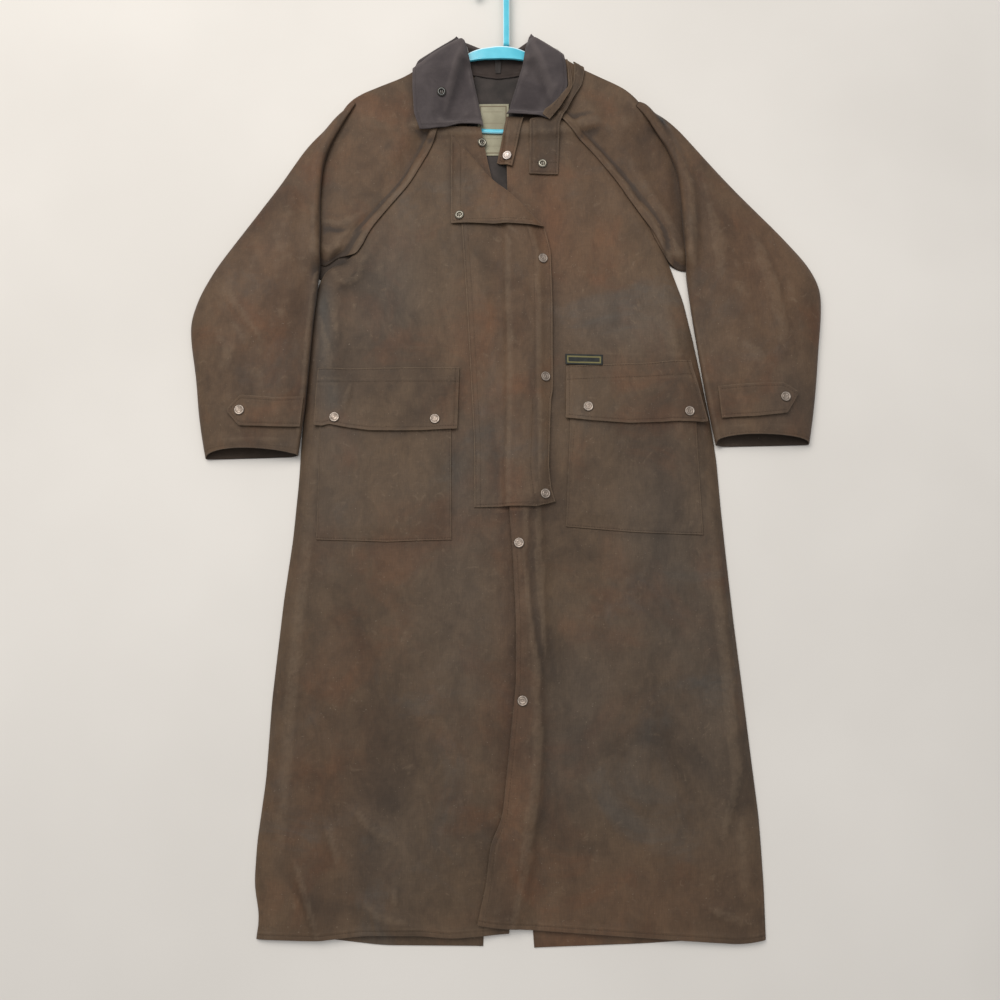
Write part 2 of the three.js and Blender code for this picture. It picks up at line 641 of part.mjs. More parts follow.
const LEFT_SLEEVE = [
  { innerX: -228, innerY: 639, outerX: -233, outerY: 643, height: 4 },
  { innerX: -238, innerY: 622, outerX: -250, outerY: 628, height: 7 },
  { innerX: -247, innerY: 598, outerX: -270, outerY: 603, height: 10 },
  { innerX: -260, innerY: 570, outerX: -292, outerY: 575, height: 12 },
  { innerX: -273, innerY: 540, outerX: -314, outerY: 542, height: 15 },
  { innerX: -276, innerY: 505, outerX: -334, outerY: 502, height: 18 },
  { innerX: -276, innerY: 465, outerX: -360, outerY: 464, height: 21 },
  { innerX: -273, innerY: 420, outerX: -392, outerY: 414, height: 25 },
  { innerX: -272, innerY: 375, outerX: -420, outerY: 374, height: 28 },
  { innerX: -273, innerY: 335, outerX: -443, outerY: 334, height: 30 },
  { innerX: -277, innerY: 295, outerX: -461, outerY: 290, height: 30 },
  { innerX: -280, innerY: 250, outerX: -466, outerY: 250, height: 28 },
  { innerX: -282, innerY: 200, outerX: -452, outerY: 200, height: 26 },
  { innerX: -284, innerY: 151, outerX: -446, outerY: 145, height: 25 },
  { innerX: -288, innerY: 107, outerX: -438, outerY: 98, height: 24 },
  { innerX: -293, innerY: 64, outerX: -429, outerY: 60, height: 23 },
];
const RIGHT_SLEEVE = [
  { innerX: 216, innerY: 632, outerX: 221, outerY: 638, height: 4 },
  { innerX: 230, innerY: 615, outerX: 246, outerY: 632, height: 8 },
  { innerX: 249, innerY: 596, outerX: 268, outerY: 613, height: 10 },
  { innerX: 264, innerY: 570, outerX: 296, outerY: 574, height: 12 },
  { innerX: 271, innerY: 538, outerX: 321, outerY: 538, height: 15 },
  { innerX: 275, innerY: 505, outerX: 347, outerY: 504, height: 18 },
  { innerX: 277, innerY: 465, outerX: 380, outerY: 465, height: 21 },
  { innerX: 277, innerY: 425, outerX: 414, outerY: 428, height: 25 },
  { innerX: 279, innerY: 385, outerX: 449, outerY: 385, height: 28 },
  { innerX: 283, innerY: 340, outerX: 482, outerY: 341, height: 30 },
  { innerX: 286, innerY: 295, outerX: 486, outerY: 300, height: 30 },
  { innerX: 291, innerY: 245, outerX: 477, outerY: 245, height: 28 },
  { innerX: 297, innerY: 195, outerX: 471, outerY: 195, height: 26 },
  { innerX: 303, innerY: 145, outerX: 464, outerY: 145, height: 26 },
  { innerX: 309, innerY: 108, outerX: 457, outerY: 108, height: 25 },
  { innerX: 314, innerY: 79, outerX: 452, outerY: 82, height: 24 },
];
const SLEEVE_SHARES = roundly(9);
const SLEEVE_EDGE_HEIGHT = 4.4;
// A low section's edge is no higher than this share of it
const SLEEVE_EDGE_SHARE = 0.4;
const CUFF_SET_BACK = 8;
// How soon the under and the upper side turn flat away from an edge: smaller is sooner
const UNDER_ROUNDING = 0.25;
const UPPER_ROUNDING = 0.4;
// The inner ring stands in from the two edges by this many cloths
const INNER_TRIM = 1.3;
const LEAST_HALF_OPENING = 0.3;

// setIn: how much closer to the shoulder the sleeve lies than its widest rows would let it
function laySleeve(name, { sections, ridges, setIn }) {
  const last = sections.length - 1;
  const plan = sections.map((s) => SLEEVE_SHARES.map((u) => (
    { x: mix(s.innerX, s.outerX, u), y: mix(s.innerY, s.outerY, u) })));
  const bed = rest(plan).map((line) => line.map((height) => Math.max(0, height - setIn)));
  const loop = (inset, wallIn) => sections.map((s, j) => {
    const width = Math.hypot(s.outerX - s.innerX, s.outerY - s.innerY);
    const trim = inset / width;
    const ring = (isTop) => SLEEVE_SHARES.map((share, i) => {
      const u = mix(trim, 1 - trim, share);
      const fullness = 4 * share * (1 - share);
      const edge = Math.min(SLEEVE_EDGE_HEIGHT, s.height * SLEEVE_EDGE_SHARE);
      const setBack = isTop && j === last ? CUFF_SET_BACK * Math.sqrt(fullness) : 0;
      const p = { x: mix(s.innerX, s.outerX, u), y: mix(s.innerY, s.outerY, u) + setBack };
      const fold = isTop ? ridgeHeight(ridges, p.x, p.y) * Math.sqrt(fullness) : 0;
      const low = edge * (1 - fullness ** UNDER_ROUNDING) + wallIn;
      const high = edge + (s.height - edge) * fullness ** UPPER_ROUNDING + fold - wallIn;
      const middle = (low + high) / 2;
      const above = Math.max(high, middle + LEAST_HALF_OPENING);
      const below = Math.min(low, middle - LEAST_HALF_OPENING);
      const onEdge = i === 0 || i === SLEEVE_SHARES.length - 1;
      const side = isTop ? above : below;
      return { ...p, z: bed[j][i] + (onEdge ? edge : side) };
    });
    return [...ring(false), ...ring(true).slice(1, -1).reverse()];
  });
  const outer = loop(0, 0);
  const inner = loop(CLOTH * INNER_TRIM, CLOTH);
  addPiece(name, wall(outer, inner, { ring: true }), CLOTH_COLOUR);
  const edgeCount = SLEEVE_SHARES.length;
  lay(outer.map((ring) => [ring[0], ...ring.slice(edgeCount).reverse(), ring[edgeCount - 1]]));
}

const LEFT_SLEEVE_RIDGES = [
  { x: -420, y: 330, toX: -352, toY: 222, width: 18, height: 5 },
  { x: -392, y: 200, toX: -330, toY: 170, width: 16, height: 3 },
];
const RIGHT_SLEEVE_RIDGES = [
  { x: 388, y: 400, toX: 424, toY: 236, width: 18, height: 5 },
  { x: 340, y: 250, toX: 400, toY: 190, width: 16, height: 3 },
];
laySleeve('sleeve_left', { sections: LEFT_SLEEVE, ridges: LEFT_SLEEVE_RIDGES, setIn: 0.7 });
laySleeve('sleeve_right', { sections: RIGHT_SLEEVE, ridges: RIGHT_SLEEVE_RIDGES, setIn: 0.95 });

// Cuff tabs, pointed at the outer end

const LEFT_TAB = {
  upper: points([-292, 149], [-327, 147], [-377, 150], [-395, 129]),
  lower: points([-294, 104], [-329, 103], [-377, 104], [-395, 125]),
};
const RIGHT_TAB = {
  upper: points([318, 165], [365, 168], [412, 169], [433, 156]),
  lower: points([322, 117], [370, 118], [416, 123], [433, 151]),
};
for (const [name, tab] of [['cuff_tab_left', LEFT_TAB], ['cuff_tab_right', RIGHT_TAB]]) {
  layCloth(name, planBetween(tab.upper, tab.lower, evenly(7), evenly(3)));
}

// Pockets, their flaps and the patch over the right one

const POCKETS = {
  pocket_left: {
    upper: points([-264, 176], [-72, 176]),
    lower: points([-262, -60], [-160, -63], [-69, -60]),
  },
  pocket_right: {
    upper: points([106, 178], [286, 178]),
    lower: points([94, -41], [190, -49], [290, -53]),
  },
};
const FLAPS = {
  pocket_flap_left: {
    upper: points([-269, 196], [-160, 198], [-60, 198]),
    lower: points([-272, 108], [-258, 106], [-250, 109], [-222, 104], [-190, 100], [-108, 100], [-62, 103]),
  },
  pocket_flap_right: {
    upper: points([98, 201], [200, 205], [283, 209]),
    lower: points([96, 120], [133, 115], [188, 111], [250, 113], [298, 114]),
  },
};
for (const [name, { upper, lower }] of Object.entries(POCKETS)) {
  layCloth(name, planBetween(upper, lower, evenly(7), evenly(7)));
}
for (const [name, { upper, lower }] of Object.entries(FLAPS)) {
  layCloth(name, planBetween(upper, lower, evenly(8), evenly(4)), { lift: (p, u) => 1.5 * u });
}
layCloth('woven_patch', planBetween(points([97, 219], [153, 216]), points([98, 206], [152, 203]),
  evenly(3), evenly(1)), { colour: PATCH_COLOUR, thick: 1 });

// Storm flap: sewn to the left front, free at its right edge. Its top corner is turned over
// along a slanting fold and lies on it with its reverse side up.

const STORM_SEAM = points([-72, 566], [-66, 500], [-59, 430], [-50, 296], [-44, 194], [-38, 87], [-37, -13]);
const STORM_EDGE = points([-50, 547], [-15, 505], [37, 456], [68, 422], [77, 383], [79, 300], [78, 163],
  [75, 147], [71, 48], [74, 14], [80, -5]);
const TURNED_CORNER = {
  fold: points([-72, 572], [-48, 545], [-14, 503], [10, 482], [38, 455], [68, 420]),
  edge: points([-74, 576], [-73, 500], [-71, 429], [-61, 430], [-33, 431], [-3, 429], [36, 428], [60, 422]),
};
const STORM_FLAP_RISE = 3.2;
// The share of half a wave that the flap's rise follows from its seam to its free edge
const STORM_FLAP_WAVE = 0.7;
layCloth('storm_flap', planBetween(STORM_SEAM, STORM_EDGE, evenly(20), evenly(5)), {
  lift: (p, u) => STORM_FLAP_RISE * Math.sin(Math.PI * STORM_FLAP_WAVE * u),
});
layCloth('storm_flap_turned_corner', planBetween(TURNED_CORNER.edge, TURNED_CORNER.fold, evenly(10),
  [0, 0.34, 0.67, 1]), { lift: (p, u) => 6 * u * (1 - u) });

// Neck tab of the right front, and the throat strap beside it

const NECK_TAB = {
  left: points([10, 609], [-5, 533]),
  right: points([37, 608], [19, 525]),
};
const THROAT_STRAP = {
  left: points([110, 706], [113, 684], [106, 655], [84, 628], [50, 606], [46, 560], [45, 512]),
  right: points([130, 705], [132, 683], [124, 652], [110, 622], [94, 600], [92, 556], [90, 511]),
};
layCloth('neck_tab', planBetween(NECK_TAB.left, NECK_TAB.right, evenly(4), evenly(2)),
  { lift: (p, u, v) => v });
layCloth('throat_strap', planBetween(THROAT_STRAP.left, THROAT_STRAP.right, evenly(9), evenly(2)),
  { lift: (p, u, v) => 1.6 * v * (1 - v) });

// Collar leaves: up from the neck seam to the fold, then out and down over the shoulder

const COLLAR_LEFT = {
  seam: points([-59, 747], [-52, 724], [-50, 704], [-43, 676], [-36, 645], [-28, 609], [-26, 590]),
  fold: points([-67, 754], [-60, 728], [-57, 707], [-50, 677], [-42, 647], [-34, 611], [-31, 592]),
  hem: points([-72, 758], [-104, 737], [-131, 717], [-137, 700], [-135, 640], [-132, 600], [-126, 584]),
};
const COLLAR_RIGHT = {
  seam: points([42, 747], [40, 722], [39, 702], [30, 676], [20, 646], [10, 614]),
  fold: points([48, 755], [47, 728], [46, 702], [37, 676], [27, 647], [17, 612]),
  hem: points([52, 760], [77, 741], [101, 714], [105, 690], [105, 656], [96, 630], [73, 598]),
};
const UNDERCOLLAR_EDGE = {
  inner: points([102, 712], [106, 690], [107, 653], [92, 636], [70, 617], [66, 604]),
  outer: points([105, 713], [112, 690], [114, 652], [103, 630], [84, 608], [76, 592]),
};
// The curled edge is pressed this much closer to the leaf than other pieces lie
const UNDERCOLLAR_SET_IN = 0.5;
const LEAF_PROFILE = [0.45, 0.85, 1, 0.93, 0.78, 0.58, 0.34, 0];
const leafHeight = (v) => 2 + 9 * Math.sin(Math.PI * clamp(0.12 + v * 0.8, 0, 1));
for (const [name, leaf] of [['collar_left', COLLAR_LEFT], ['collar_right', COLLAR_RIGHT]]) {
  layCloth(name, tentPlan(leaf, [0, 0.5, 1], [0, 0.14, 0.34, 0.56, 0.78, 1], evenly(11)), {
    colour: COLLAR_COLOUR,
    thick: COLLAR_CLOTH,
    lift: tentLift(LEAF_PROFILE, leafHeight),
  });
}
layCloth('undercollar_edge', planBetween(UNDERCOLLAR_EDGE.inner, UNDERCOLLAR_EDGE.outer, evenly(9), [0, 1]),
  { thick: 1.4, lift: () => -UNDERCOLLAR_SET_IN });

// Snap fasteners: domed caps on the outside, ringed sockets where an inner side shows

const CAPS = [
  { name: 'snap_storm_upper', x: 65, y: 369 },
  { name: 'snap_storm_middle', x: 67, y: 182 },
  { name: 'snap_storm_lower', x: 65, y: 6 },
  { name: 'snap_front_upper', x: 27, y: -65 },
  { name: 'snap_front_lower', x: 31, y: -284 },
  { name: 'snap_flap_left_outer', x: -241, y: 119 },
  { name: 'snap_flap_left_inner', x: -95, y: 117 },
  { name: 'snap_flap_right_inner', x: 129, y: 136 },
  { name: 'snap_flap_right_outer', x: 276, y: 128 },
  { name: 'snap_cuff_left', x: -377, y: 127 },
  { name: 'snap_cuff_right', x: 414, y: 147 },
  { name: 'snap_neck_tab', x: 11, y: 542 },
];
const SOCKETS = [
  { name: 'socket_collar', x: -91, y: 642 },
  { name: 'socket_front_left', x: -28, y: 566 },
  { name: 'socket_turned_corner', x: -62, y: 441 },
  { name: 'socket_throat_strap', x: 66, y: 529 },
];
// Profiles from the foot's middle to the top's middle, in shares of the snap's radius and height
const CAP_PROFILE = [
  { r: 0, z: 0 }, { r: 0.97, z: 0 }, { r: 1, z: 0.3 }, { r: 0.86, z: 0.8 },
  { r: 0.62, z: 0.72 }, { r: 0.5, z: 1 }, { r: 0, z: 0.9 },
];
const SOCKET_PROFILE = [
  { r: 0, z: 0 }, { r: 0.9, z: 0 }, { r: 0.94, z: 0.5 }, { r: 0.78, z: 1 },
  { r: 0.5, z: 0.9 }, { r: 0.44, z: 0.35 }, { r: 0, z: 0.35 },
];
const SNAP_SIDES = 12;

// A snap leans with the cloth under it and sits just clear of the highest point there
function laySnap({ name, x, y }, profile) {
  const reach = SNAP_RADIUS * 0.75;
  const tilt = (x1, y1, x2, y2) => clamp((pileAt(x2, y2) - pileAt(x1, y1)) / (2 * reach), -0.35, 0.35);
  const slopeX = tilt(x - reach, y, x + reach, y);
  const slopeY = tilt(x, y - reach, x, y + reach);
  let seat = 0;
  for (let dx = -SNAP_RADIUS; dx <= SNAP_RADIUS; dx += PILE_CELL / 2) {
    for (let dy = -SNAP_RADIUS; dy <= SNAP_RADIUS; dy += PILE_CELL / 2) {
      const inside = Math.hypot(dx, dy) <= SNAP_RADIUS;
      if (inside) seat = Math.max(seat, pileAt(x + dx, y + dy) - slopeX * dx - slopeY * dy);
    }
  }
  seat += SEAM_GAP - (PILE_CELL / 2) * (Math.abs(slopeX) + Math.abs(slopeY));
  const outline = profile.map(({ r, z }) => new THREE.Vector2(r * SNAP_RADIUS, z * SNAP_HEIGHT));
  const lathe = new THREE.LatheGeometry(outline, SNAP_SIDES);
  lathe.rotateX(Math.PI / 2);
  const upright = new THREE.Vector3(0, 0, 1);
  const normal = new THREE.Vector3(-slopeX, -slopeY, 1).normalize();
  const lean = new THREE.Quaternion().setFromUnitVectors(upright, normal);
  lathe.applyQuaternion(lean);
  lathe.translate(x, y, seat);
  addPiece(name, lathe, METAL_COLOUR, { roughness: 0.4, metalness: 0.8 });
}
CAPS.forEach((snap) => laySnap(snap, CAP_PROFILE));
SOCKETS.forEach((snap) => laySnap(snap, SOCKET_PROFILE));

// The origin is on the floor under the middle of the whole part
coat.updateMatrixWorld(true);
const middle = new THREE.Box3().setFromObject(coat).getCenter(new THREE.Vector3());
coat.position.set(-middle.x, -middle.y, 0);

export default coat;
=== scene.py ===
# Looks of a long waxed-cloth duster coat on a hanger, laid flat on its back and snapped shut.
#
# The tables below are in millimetres on the floor, with the middle of the photograph as their
# origin, +Y towards the collar and +X to the right. Left and right are the viewer's.
# Each cloth piece is a thin shell laid on a pile of heights that remembers the pieces under it.

import math

import bpy
import numpy as np
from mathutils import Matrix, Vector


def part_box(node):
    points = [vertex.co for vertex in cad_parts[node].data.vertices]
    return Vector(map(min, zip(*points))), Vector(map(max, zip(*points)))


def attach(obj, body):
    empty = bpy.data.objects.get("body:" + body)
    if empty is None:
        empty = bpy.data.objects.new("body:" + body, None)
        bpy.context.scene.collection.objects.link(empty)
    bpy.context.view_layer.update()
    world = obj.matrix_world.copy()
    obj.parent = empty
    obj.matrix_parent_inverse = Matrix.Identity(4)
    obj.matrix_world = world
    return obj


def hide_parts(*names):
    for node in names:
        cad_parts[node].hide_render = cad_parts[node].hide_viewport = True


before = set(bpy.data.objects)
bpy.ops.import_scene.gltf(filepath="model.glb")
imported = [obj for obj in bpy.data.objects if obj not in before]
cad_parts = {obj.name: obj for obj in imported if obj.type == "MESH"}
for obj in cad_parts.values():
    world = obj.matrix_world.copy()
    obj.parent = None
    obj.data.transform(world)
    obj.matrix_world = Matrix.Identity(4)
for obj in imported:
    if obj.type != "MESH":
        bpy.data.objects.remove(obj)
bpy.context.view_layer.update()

# Driving dimensions
CLOTH = 1.4
COLLAR_CLOTH = 2.0
THIN_CLOTH = 0.9
GAP = 0.35
LOWEST = 0.05
FLOOR_CLEARANCE = 0.02
SIDE_SEAM_INSET = 12
SNAP_RADIUS = 7.4
SNAP_HEIGHT = 2.6
HOOK_RADIUS = 24
GRID = 4.0
FINE_GRID = 2.6

# The patch's corner is known in the tables and in the frame, which gives the shift between them
PATCH_CORNER = (97, 203)
patch_low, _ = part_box("woven_patch")
SHIFT = np.array([patch_low[0] * 1000 - PATCH_CORNER[0], patch_low[1] * 1000 - PATCH_CORNER[1], 0.0])


# Camera and stage

CAMERA_LEAN = math.atan(0.198)
CAMERA_PLACE = (0.0, -253.47, 1280.15)
CAMERA_LENS = 32.4
CAMERA_SENSOR = 36.0


def to_metres(points):
    return (np.asarray(points, float) + SHIFT) / 1000


def add_camera():
    data = bpy.data.cameras.new("camera")
    data.lens = CAMERA_LENS
    data.sensor_width = CAMERA_SENSOR
    camera = bpy.data.objects.new("camera", data)
    camera.location = to_metres(CAMERA_PLACE)
    camera.rotation_euler = (CAMERA_LEAN, 0, 0)
    bpy.context.scene.collection.objects.link(camera)
    bpy.context.scene.camera = camera


def add_area_light(name, place, target, size, power, colour):
    data = bpy.data.lights.new(name, "AREA")
    data.shape = "RECTANGLE"
    data.size, data.size_y = size
    data.energy = power
    data.color = colour
    light = bpy.data.objects.new(name, data)
    light.location = place
    towards = Vector(target) - Vector(place)
    light.rotation_euler = towards.to_track_quat("-Z", "Y").to_euler()
    bpy.context.scene.collection.objects.link(light)


def add_world(strength):
    world = bpy.data.worlds.new("studio")
    bpy.context.scene.world = world
    world.use_nodes = True
    background = world.node_tree.nodes["Background"]
    background.inputs["Color"].default_value = (0.93, 0.96, 1.0, 1)
    background.inputs["Strength"].default_value = strength


# Small tools

def clamp(value, low=0.0, high=1.0):
    return np.clip(value, low, high)


def ease(share):
    share = clamp(share)
    return share * share * (3 - 2 * share)


def mix(a, b, share):
    return a + (b - a) * share


def line(*pairs):
    return np.array(pairs, float)


def evenly(count):
    return np.linspace(0, 1, count + 1)


def roundly(count):
    return (1 - np.cos(np.pi * evenly(count))) / 2


def along(path, shares):
    """Points at shares of a polyline's length."""
    lengths = np.hypot(*np.diff(path[:, :2], axis=0).T)
    total = np.concatenate([[0], np.cumsum(lengths)])
    return np.stack([np.interp(shares * total[-1], total, path[:, k]) for k in range(path.shape[1])], -1)


def length_of(path):
    return float(np.hypot(*np.diff(path[:, :2], axis=0).T).sum())


def rounded(path, radius):
    """The polyline with its corners rounded and its ends kept."""
    count = max(8, int(length_of(path) / 1.5))
    fine = along(path, evenly(count))
    reach = max(1, int(radius / 1.5))
    padded = np.concatenate([2 * fine[0] - fine[reach:0:-1], fine, 2 * fine[-1] - fine[-2:-reach - 2:-1]])
    sums = np.cumsum(np.concatenate([np.zeros((1, fine.shape[1])), padded]), axis=0)
    window = 2 * reach + 1
    smooth = (sums[window:] - sums[:-window]) / window
    smooth[0], smooth[-1] = fine[0], fine[-1]
    return smooth


def edge_steps(length, step, fine_edges=(True, True)):
    """Shares of a length: closely spaced near the edges that have a hem, then step apart."""
    near = np.array([1.3, 2.8, 4.2, 5.2, 6.2, 7.6, 9.4, 12.0])
    near = near[near < length * 0.3]
    start = near if fine_edges[0] else np.array([])
    end = length - near[::-1] if fine_edges[1] else np.array([])
    first = start[-1] if len(start) else 0.0
    last = end[0] if len(end) else length
    count = max(1, int(round((last - first) / step)))
    middle = np.linspace(first, last, count + 1)
    if len(start):
        middle = middle[1:]
    if len(end):
        middle = middle[:-1]
    steps = np.concatenate([[0.0] if len(start) else [], start, middle, end, [length] if len(end) else []])
    return np.unique(steps) / length


# The pile: highest point so far over each cell of the floor

CELL = 2.0
HALF_WIDTH = 580
HALF_LENGTH = 920
pile = np.zeros((2 * HALF_LENGTH // 2, 2 * HALF_WIDTH // 2))


def sample(field, x, y, x0=-HALF_WIDTH, y0=-HALF_LENGTH):
    """A field of cells read between its cells' middles."""
    column = clamp((x - x0) / CELL - 0.5, 0, field.shape[1] - 1.001)
    row = clamp((y - y0) / CELL - 0.5, 0, field.shape[0] - 1.001)
    c, r = column.astype(int), row.astype(int)
    fc, fr = column - c, row - r
    return ((field[r, c] * (1 - fc) + field[r, c + 1] * fc) * (1 - fr)
            + (field[r + 1, c] * (1 - fc) + field[r + 1, c + 1] * fc) * fr)


def finer(grid, times):
    """A grid of points with more points between its own."""
    rows = np.linspace(0, grid.shape[0] - 1, (grid.shape[0] - 1) * times + 1)
    columns = np.linspace(0, grid.shape[1] - 1, (grid.shape[1] - 1) * times + 1)
    r = np.minimum(rows.astype(int), grid.shape[0] - 2)
    c = np.minimum(columns.astype(int), grid.shape[1] - 2)
    fr, fc = (rows - r)[:, None, None], (columns - c)[None, :, None]
    a, b = grid[np.ix_(r, c)], grid[np.ix_(r, c + 1)]
    d, e = grid[np.ix_(r + 1, c)], grid[np.ix_(r + 1, c + 1)]
    return (a * (1 - fc) + b * fc) * (1 - fr) + (d * (1 - fc) + e * fc) * fr


def lay(top, times=4):
    """Raises the pile to a grid's surface."""
    dense = finer(top, times).reshape(-1, 3)
    c = clamp(((dense[:, 0] + HALF_WIDTH) / CELL).astype(int), 0, pile.shape[1] - 1)
    r = clamp(((dense[:, 1] + HALF_LENGTH) / CELL).astype(int), 0, pile.shape[0] - 1)
    np.maximum.at(pile, (r, c), dense[:, 2])


def shifted_stack(field, reach, axis):
    padded = np.pad(field, [(reach, reach) if k == axis else (0, 0) for k in (0, 1)], mode="edge")
    size = field.shape[axis]
    for k in range(2 * reach + 1):
        yield k - reach, (padded[k:k + size] if axis == 0 else padded[:, k:k + size])


def draped(plan, softness):
    """The height at which cloth of that softness (mm) lies over the pile at each plan point."""
    margin = 6 * softness + 4 * CELL
    low = plan.reshape(-1, 2).min(0) - margin
    high = plan.reshape(-1, 2).max(0) + margin
    c0 = max(0, int((low[0] + HALF_WIDTH) / CELL))
    r0 = max(0, int((low[1] + HALF_LENGTH) / CELL))
    c1, r1 = int((high[0] + HALF_WIDTH) / CELL), int((high[1] + HALF_LENGTH) / CELL)
    field = pile[r0:r1, c0:c1]
    sigma = softness / CELL
    reach = max(1, int(round(1.5 * sigma)))
    for axis in (0, 1):
        top = None
        for _, part in shifted_stack(field, reach, axis):
            top = part if top is None else np.maximum(top, part)
        field = top
    blur = max(1, int(round(2.2 * sigma)))
    for axis in (0, 1):
        total, weights = 0.0, 0.0
        for offset, part in shifted_stack(field, blur, axis):
            weight = math.exp(-0.5 * (offset / sigma) ** 2)
            total, weights = total + part * weight, weights + weight
        field = total / weights
    return sample(field, plan[..., 0], plan[..., 1], c0 * CELL - HALF_WIDTH, r0 * CELL - HALF_LENGTH)


# Relief: soft folds, creases and the small unevenness of worn waxed cloth

def waves(x, y, seed, wavelength, count=14, stretch=1.0):
    """A smooth random field of about unit size, longer along y where stretch is over 1."""
    random = np.random.RandomState(seed)
    field = np.zeros_like(x)
    for _ in range(count):
        angle = random.uniform(0, math.pi)
        size = 2 * math.pi / (wavelength * random.uniform(0.6, 1.7))
        phase = random.uniform(0, 2 * math.pi)
        field += np.cos(size * (x * math.cos(angle) + y * math.sin(angle) / stretch) + phase)
    return field / math.sqrt(count)


def fold_height(folds, x, y):
    """Sum of folds (path, left width, right width, height): ridges, or troughs where height is below 0."""
    total = np.zeros_like(x)
    for path, left_width, right_width, height in folds:
        path = rounded(line(*path), 10) if len(path) > 2 else line(*path)
        stride = max(1, len(path) // 14)
        path = np.concatenate([path[:-1:stride], path[-1:]])
        nearest = np.full(x.shape, 1e9)
        side = np.zeros_like(x)
        share = np.zeros_like(x)
        lengths = np.hypot(*np.diff(path, axis=0).T)
        done = 0.0
        for k, length in enumerate(lengths):
            dx, dy = path[k + 1] - path[k]
            t = clamp(((x - path[k, 0]) * dx + (y - path[k, 1]) * dy) / length ** 2)
            off_x, off_y = x - path[k, 0] - dx * t, y - path[k, 1] - dy * t
            off = np.hypot(off_x, off_y)
            closer = off < nearest
            nearest = np.where(closer, off, nearest)
            side = np.where(closer, off_x * dy - off_y * dx, side)
            share = np.where(closer, (done + t * length) / lengths.sum(), share)
            done += length
        width = np.where(side > 0, right_width, left_width)
        total += height * np.exp(-(nearest / width) ** 2) * (0.25 + 0.75 * np.sin(np.pi * clamp(share)))
    return total


def crumple(x, y, seed, amount=1.0):
    """The unevenness of waxed cloth at three sizes, in mm."""
    field = 0.85 * waves(x, y, seed, 150, stretch=1.5)
    field += 0.3 * waves(x, y, seed + 1, 52, stretch=1.3)
    field += 0.09 * waves(x, y, seed + 2, 19, 18)
    return amount * field


def stitched_hem(distance, thick=0.5, stitch_at=6.2, width=9.5):
    """The thicker hem beside an edge, with the groove that its stitching pulls in."""
    raised = thick * (1 - ease((distance - width) / 2.6))
    groove = 0.3 * np.exp(-((distance - stitch_at) / 1.1) ** 2)
    return raised - groove


def groove(distance, depth=0.5, width=1.3):
    return -depth * np.exp(-(distance / width) ** 2)


def edge_distances(plan):
    """Distances in mm from each point of a grid to its left, right, first and last edge."""
    across = np.hypot(*np.moveaxis(np.diff(plan[..., :2], axis=1), -1, 0))
    down = np.hypot(*np.moveaxis(np.diff(plan[..., :2], axis=0), -1, 0))
    zero_column, zero_row = np.zeros((plan.shape[0], 1)), np.zeros((1, plan.shape[1]))
    left = np.concatenate([zero_column, np.cumsum(across, axis=1)], axis=1)
    right = left[:, -1:] - left
    first = np.concatenate([zero_row, np.cumsum(down, axis=0)], axis=0)
    last = first[-1:] - first
    return left, right, first, last


def waved(plan, wave, fade):
    """The grid with its last rows moved up by a wave of (share across, mm)."""
    left, right, _, last = edge_distances(plan)
    share, rise = np.array(wave, float).T
    plan = plan.copy()
    plan[..., 1] += np.interp(left / (left + right), share, rise) * ease(1 - last / fade)
    return plan


# Closed shells

def add_mesh(name, vertices, quads, material, attributes=None, triangles=None):
    """A mesh object from points in the tables' millimetres."""
    quads = np.asarray(quads, int).reshape(-1, 4)
    triangles = np.asarray(triangles if triangles is not None else [], int).reshape(-1, 3)
    points = np.array(vertices, float).reshape(-1, 3)
    points[:, 2] = np.maximum(points[:, 2], FLOOR_CLEARANCE)
    a, b, c, d = (points[quads[:, k]] for k in range(4))
    volume = np.einsum("ij,ij->", a, np.cross(b, c)) + np.einsum("ij,ij->", a, np.cross(c, d))
    if len(triangles):
        p, q, r = (points[triangles[:, k]] for k in range(3))
        volume += np.einsum("ij,ij->", p, np.cross(q, r))
    if volume < 0:
        quads, triangles = quads[:, ::-1], triangles[:, ::-1]
    mesh = bpy.data.meshes.new(name)
    mesh.vertices.add(len(points))
    mesh.vertices.foreach_set("co", to_metres(points).ravel())
    corners = np.concatenate([quads.ravel(), triangles.ravel()])
    starts = np.concatenate([4 * np.arange(len(quads)), 4 * len(quads) + 3 * np.arange(len(triangles))])
    mesh.loops.add(len(corners))
    mesh.loops.foreach_set("vertex_index", corners)
    mesh.polygons.add(len(starts))
    mesh.polygons.foreach_set("loop_start", starts)
    mesh.polygons.foreach_set("use_smooth", np.ones(len(starts), bool))
    mesh.update(calc_edges=True)
    for key, values in (attributes or {}).items():
        mesh.attributes.new(key, "FLOAT", "POINT").data.foreach_set("value", np.ravel(values).astype(float))
    mesh.materials.append(material)
    piece = bpy.data.objects.new(name, mesh)
    bpy.context.scene.collection.objects.link(piece)
    return piece


def border_of(rows, columns):
    top = [(0, k) for k in range(columns)]
    right = [(k, columns - 1) for k in range(1, rows)]
    bottom = [(rows - 1, k) for k in range(columns - 2, -1, -1)]
    left = [(k, 0) for k in range(rows - 2, 0, -1)]
    return np.array(top + right + bottom + left)


